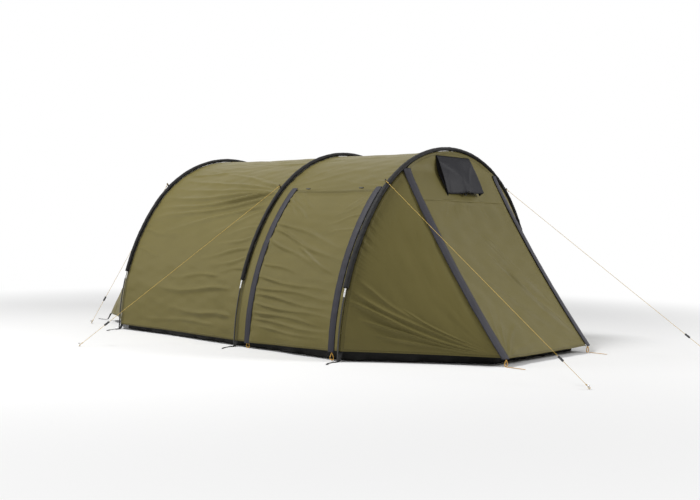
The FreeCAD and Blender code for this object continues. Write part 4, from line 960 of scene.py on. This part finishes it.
# the tub: one grid whose rim stands up all round
TUB_HALF, TUB_REACH = 0.9335, 0.108
u, v = grid((-1.1, -1.0, 0, 1.0, 1.1), (-0.1, 0.0, 1.0, 1.1), 0.030)
rim = np.clip(np.maximum.reduce([np.abs(u) - 1, v - 1, -v]) / 0.1, 0, 1)
y = CABIN_Y[0] + 0.001 + np.clip(v, 0, 1) * (INNER_REAR_Y - 0.006 - CABIN_Y[0])
half = np.interp(y, [CABIN_Y[0], CABIN_Y[1], INNER_REAR_Y], [TUB_HALF, TUB_HALF, INNER_CORNER])
x = np.clip(u, -1, 1) * half
z = 0.0022 + 0.0006 * uneven(x, y, 96, 1.0) * (1 - rim) * near_zero_at(v, 0, 1) + TUB_REACH * 0.95 * rim
tub = sheet("tub_floor_cloth", np.stack([x, y, z], -1), np.stack([x, y + z], -1), np.ones_like(x))
place(tub, TENT, floor_cloth, "skirt", "inner_tub_floor")

for y in HANGER_YS:
    for degrees in HANGER_ANGLES:
        fly_under = FLY - 0.010 - float(rear_sag(abs(girth(math.radians(degrees))), y))
        (x0, z0), (x1, z1) = (hoop(math.radians(degrees), o) for o in (INNER + 0.001, fly_under))
        stub = np.linspace((float(x0), y, float(z0)), (float(x1), y, float(z1)), 8)
        hanger = round_tube(f"hanger_{round(y * 100)}_{degrees + 60}", stub, 0.0022, (0, 1, 0), 8)
        place(hanger, TENT, gold_elastic, "gold_elastic", "inner_hangers")
print("cabin: tube, 2 ends, door, tub, 15 hangers")

# %% [markdown]
# ## Pole sleeves
# Each pole runs in a sleeve of black cloth sewn over the fly. The sleeve is wider than the pole, so it is a
# flattened tube with small wrinkles. The front one is wider again.

# %% Sleeves
SLEEVE_END = float(girth(math.acos(0.425 / HAUNCH_RADIUS)))
SLEEVE_DEPTH, SLEEVE_HALF = 0.0125, {"front": 0.0195, "middle": 0.0135, "rear": 0.0135}
turn = np.linspace(0, 2 * math.pi, 24, endpoint=False)
for seed, (hoop_name, y) in enumerate(HOOP_Y.items()):
    distance = np.linspace(-SLEEVE_END, SLEEVE_END, 420)
    x, z = hoop(angle_at(distance))
    path = np.stack([x, np.full_like(x, y), z], -1)
    wide = SLEEVE_HALF[hoop_name]
    wrinkle = uneven(distance[:, None] + 0 * turn, 0.05 * np.cos(turn) + 0 * distance[:, None], 100 + seed, 0.05,
                     0.02, 0.09)
    out = SLEEVE_DEPTH * np.cos(turn) * (1 + 0.6 * wrinkle)
    side = wide * np.sin(turn) * (1 + wrinkle) * np.abs(np.sin(turn)) ** 0.12
    sleeve = swept(f"{hoop_name}_sleeve", path, out, side, (0, 1, 0), wall=0.0010)
    place(sleeve, TENT, sleeve_cloth, "black_sleeve", f"{hoop_name}_pole_sleeve")
print("sleeves:", round(2 * SLEEVE_END, 3), "m of each pole")

# %% [markdown]
# ## Webbing and elastics
# A tab of webbing at each pole foot carries the pin that plugs into the pole, and a tail beside it tightens the
# fly. Tabs on the sleeves take the guylines. Gold elastic loops at the hem go over pegs.

# %% Webbing at the feet, corners and guy points
STRAP_CENTRE_X, STRAP_RADIUS, STRAP_SWING = 1.096, 0.130, math.radians(46)
GUY_TAB_DEGREES = {"front": 43.4, "middle": 45.0, "rear": 42.0}
SIDE_LOOP_X = 1.0390
for hoop_name, y in HOOP_Y.items():
    for side_name, side in SIDES:
        name = f"{side_name}_{hoop_name}_"
        bent = smooth_path([(1.0225, y, 0.082), (1.034, y, 0.052), (1.048, y, 0.0045), (1.062, y, 0.0020),
                            (1.094, y, 0.0020)], 36) * [side, 1, 1]
        width = np.interp(np.arange(36), [0, 18, 35], [0.032, 0.025, 0.024])
        tab = ribbon(name + "foot_tab", bent, width, 0.0022, (0, 0, 1))
        place(tab, TENT, webbing, "webbing", "foot_webbing_tabs")
        angle = math.pi / 2 - np.linspace(0, STRAP_SWING, 30)
        ground = np.stack([(STRAP_CENTRE_X + STRAP_RADIUS * np.cos(angle)) * side,
                           y - STRAP_RADIUS + STRAP_RADIUS * np.sin(angle),
                           0.0016 + 0.0008 * np.sin(angle * 9) ** 2], -1)
        tail = ribbon(name + "pull_strap", ground, 0.012, 0.0014, (0, 0, 1))
        place(tail, TENT, webbing, "webbing", "foot_pull_straps")
        angle = math.radians(GUY_TAB_DEGREES[hoop_name]) * side
        ends = [np.array([float(hoop(angle, o)[0]), y, float(hoop(angle, o)[1])]) for o in (0.010, 0.0355)]
        tab = ribbon(name + "guy_tab", np.linspace(*ends, 10), 0.013, 0.0022, (0, 1, 0))
        place(tab, TENT, webbing, "webbing", "guy_tabs")
for side_name, side in SIDES:
    rear_drop = smooth_path([(0.766, 1.733, 0.058), (0.765, 1.752, 0.040), (0.763, 1.778, 0.008),
                             (0.762, 1.815, 0.0016), (0.762, 1.914, 0.0016)], 60) * [side, 1, 1]
    width = np.interp(np.arange(60), [0, 20, 59], [0.016, 0.012, 0.010])
    strap = ribbon(f"{side_name}_rear_corner_strap", rear_drop, width, 0.0018, (0, 0, 1))
    place(strap, TENT, webbing, "webbing", "rear_corner_straps")
    front_tail = np.linspace((0.481 * side, -1.793, 0.0016), (0.481 * side, -1.914, 0.0016), 24)
    strap = ribbon(f"{side_name}_front_corner_strap", front_tail, 0.010, 0.0016, (0, 0, 1))
    place(strap, TENT, gold_elastic, "gold_elastic", "front_corner_straps")
    for loop_name, x, y, top, across in (("side_rear", SIDE_LOOP_X, ZIP_Y["rear"], 0.047, (0, 1, 0)),
                                         ("side_front", SIDE_LOOP_X, ZIP_Y["front"], 0.047, (0, 1, 0)),
                                         ("corner", CORNER_X, CORNER_Y - 0.002, 0.045, (1, 0, 0))):
        ring = drop_loop(np.array([x * side, y, top]), np.array([x * side, y, 0.0026]), np.array(across, float), 0.030)
        loop = round_tube(f"{side_name}_{loop_name}_peg_elastic", ring, 0.0028, np.roll(across, 1), 8, ring=True)
        place(loop, TENT, gold_elastic, "gold_elastic", "elastic_peg_loops")
print("webbing: 6 foot tabs, 6 tails, 6 guy tabs, 4 corner straps, 6 elastics")

# %% [markdown]
# ## Finishes on the rigid parts
# The rods, ferrules, pins, zips, sliders, toggles and strut are shown as the CAD made them. They only need
# their finish.

# %% Rigid parts
RIGID = {"fibreglass": (fibreglass, ["front_pole", "middle_pole", "rear_pole", "vent_strut"]),
         "steel": (steel, ["front_pole_ferrules", "middle_pole_ferrules", "rear_pole_ferrules",
                           "foot_pins_and_rings"]),
         "zips": (zip_coil, ["side_door_zips"]),
         "mouldings": (moulded, ["door_tie_toggles"] + [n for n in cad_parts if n.endswith("_slider")])}
for group, (material, names) in RIGID.items():
    for node_name in names:
        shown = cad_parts[node_name]
        shown.data.materials.clear()
        shown.data.materials.append(material)
    print(group, len(names))

# %% [markdown]
# ## Light and floor
# Soft light comes from all round, with one lamp above, one behind to the left and one in front. The world looks
# white only to the camera, in reflections and through clear things. The floor takes the shadow and fades to white
# with distance.

# %% Light and floor
scene = bpy.context.scene
scene.view_settings.view_transform = "Standard"
world = bpy.data.worlds.new("studio")
scene.world = world
world.use_nodes = True
world.node_tree.nodes.clear()
ray = add(world, "ShaderNodeLightPath", {}).outputs
seen = combine(world, "MAXIMUM", ray["Is Camera Ray"], ray["Is Glossy Ray"])
seen_too = combine(world, "MAXIMUM", seen, ray["Is Transmission Ray"])
soft, white = (add(world, "ShaderNodeBackground", {"Color": (1, 1, 1, 1), "Strength": strength}).outputs[0]
               for strength in (0.24, 1.0))
choose = add(world, "ShaderNodeMixShader", {0: seen_too, 1: soft, 2: white}).outputs[0]
add(world, "ShaderNodeOutputWorld", {0: choose})


def lamp(name, where, size, level):
    """An area lamp aimed at the tent; a level of 1 lights a white sheet facing it to white."""
    light = bpy.data.lights.new(name, "AREA")
    aim = Vector((0, -0.2, 0.5)) - Vector(where)
    light.shape, light.size, light.energy = "SQUARE", size, level * math.pi ** 2 * aim.length ** 2
    made = bpy.data.objects.new(name, light)
    scene.collection.objects.link(made)
    made.matrix_world = Matrix.Translation(where) @ aim.to_track_quat("-Z", "Y").to_matrix().to_4x4()
    return made


lamp("top lamp", (-3.0, 1.0, 5.6), 1.5, 0.80)
lamp("back left lamp", (-5.6, 4.6, 3.4), 2.2, 0.16)
lamp("front lamp", (3.4, -6.6, 3.8), 2.2, 0.50)

FLOOR_SIZE, FLOOR_Z, FADE = 60.0, -0.0012, (2.6, 5.5)
ground_mesh = bpy.data.meshes.new("floor")
corner = FLOOR_SIZE / 2
ground_mesh.from_pydata([(-corner, -corner, FLOOR_Z), (corner, -corner, FLOOR_Z), (corner, corner, FLOOR_Z),
                         (-corner, corner, FLOOR_Z)], [], [(0, 1, 2, 3)])
ground = bpy.data.objects.new("floor", ground_mesh)
scene.collection.objects.link(ground)
floor_finish, floor_shader = blank("studio floor", (0.86, 0.86, 0.86), 0.9)
ground_mesh.materials.append(floor_finish)
where = add(floor_finish, "ShaderNodeTexCoord", {}).outputs["Object"]
distance = add(floor_finish, "ShaderNodeVectorMath", {0: where}, operation="LENGTH").outputs["Value"]
far = ramp(floor_finish, distance, *FADE, interpolation_type="SMOOTHSTEP")
ray = add(floor_finish, "ShaderNodeLightPath", {}).outputs
looked_at = combine(floor_finish, "MAXIMUM", ray["Is Camera Ray"], ray["Is Glossy Ray"])
amount = combine(floor_finish, "MULTIPLY", far, looked_at)
glow = add(floor_finish, "ShaderNodeEmission", {"Color": (1, 1, 1, 1), "Strength": 1.0}).outputs[0]
fade = add(floor_finish, "ShaderNodeMixShader", {0: amount, 1: floor_shader.outputs[0], 2: glow}).outputs[0]
floor_finish.node_tree.links.new(fade, floor_finish.node_tree.nodes["Material Output"].inputs["Surface"])
print("lights:", len(bpy.data.lights))
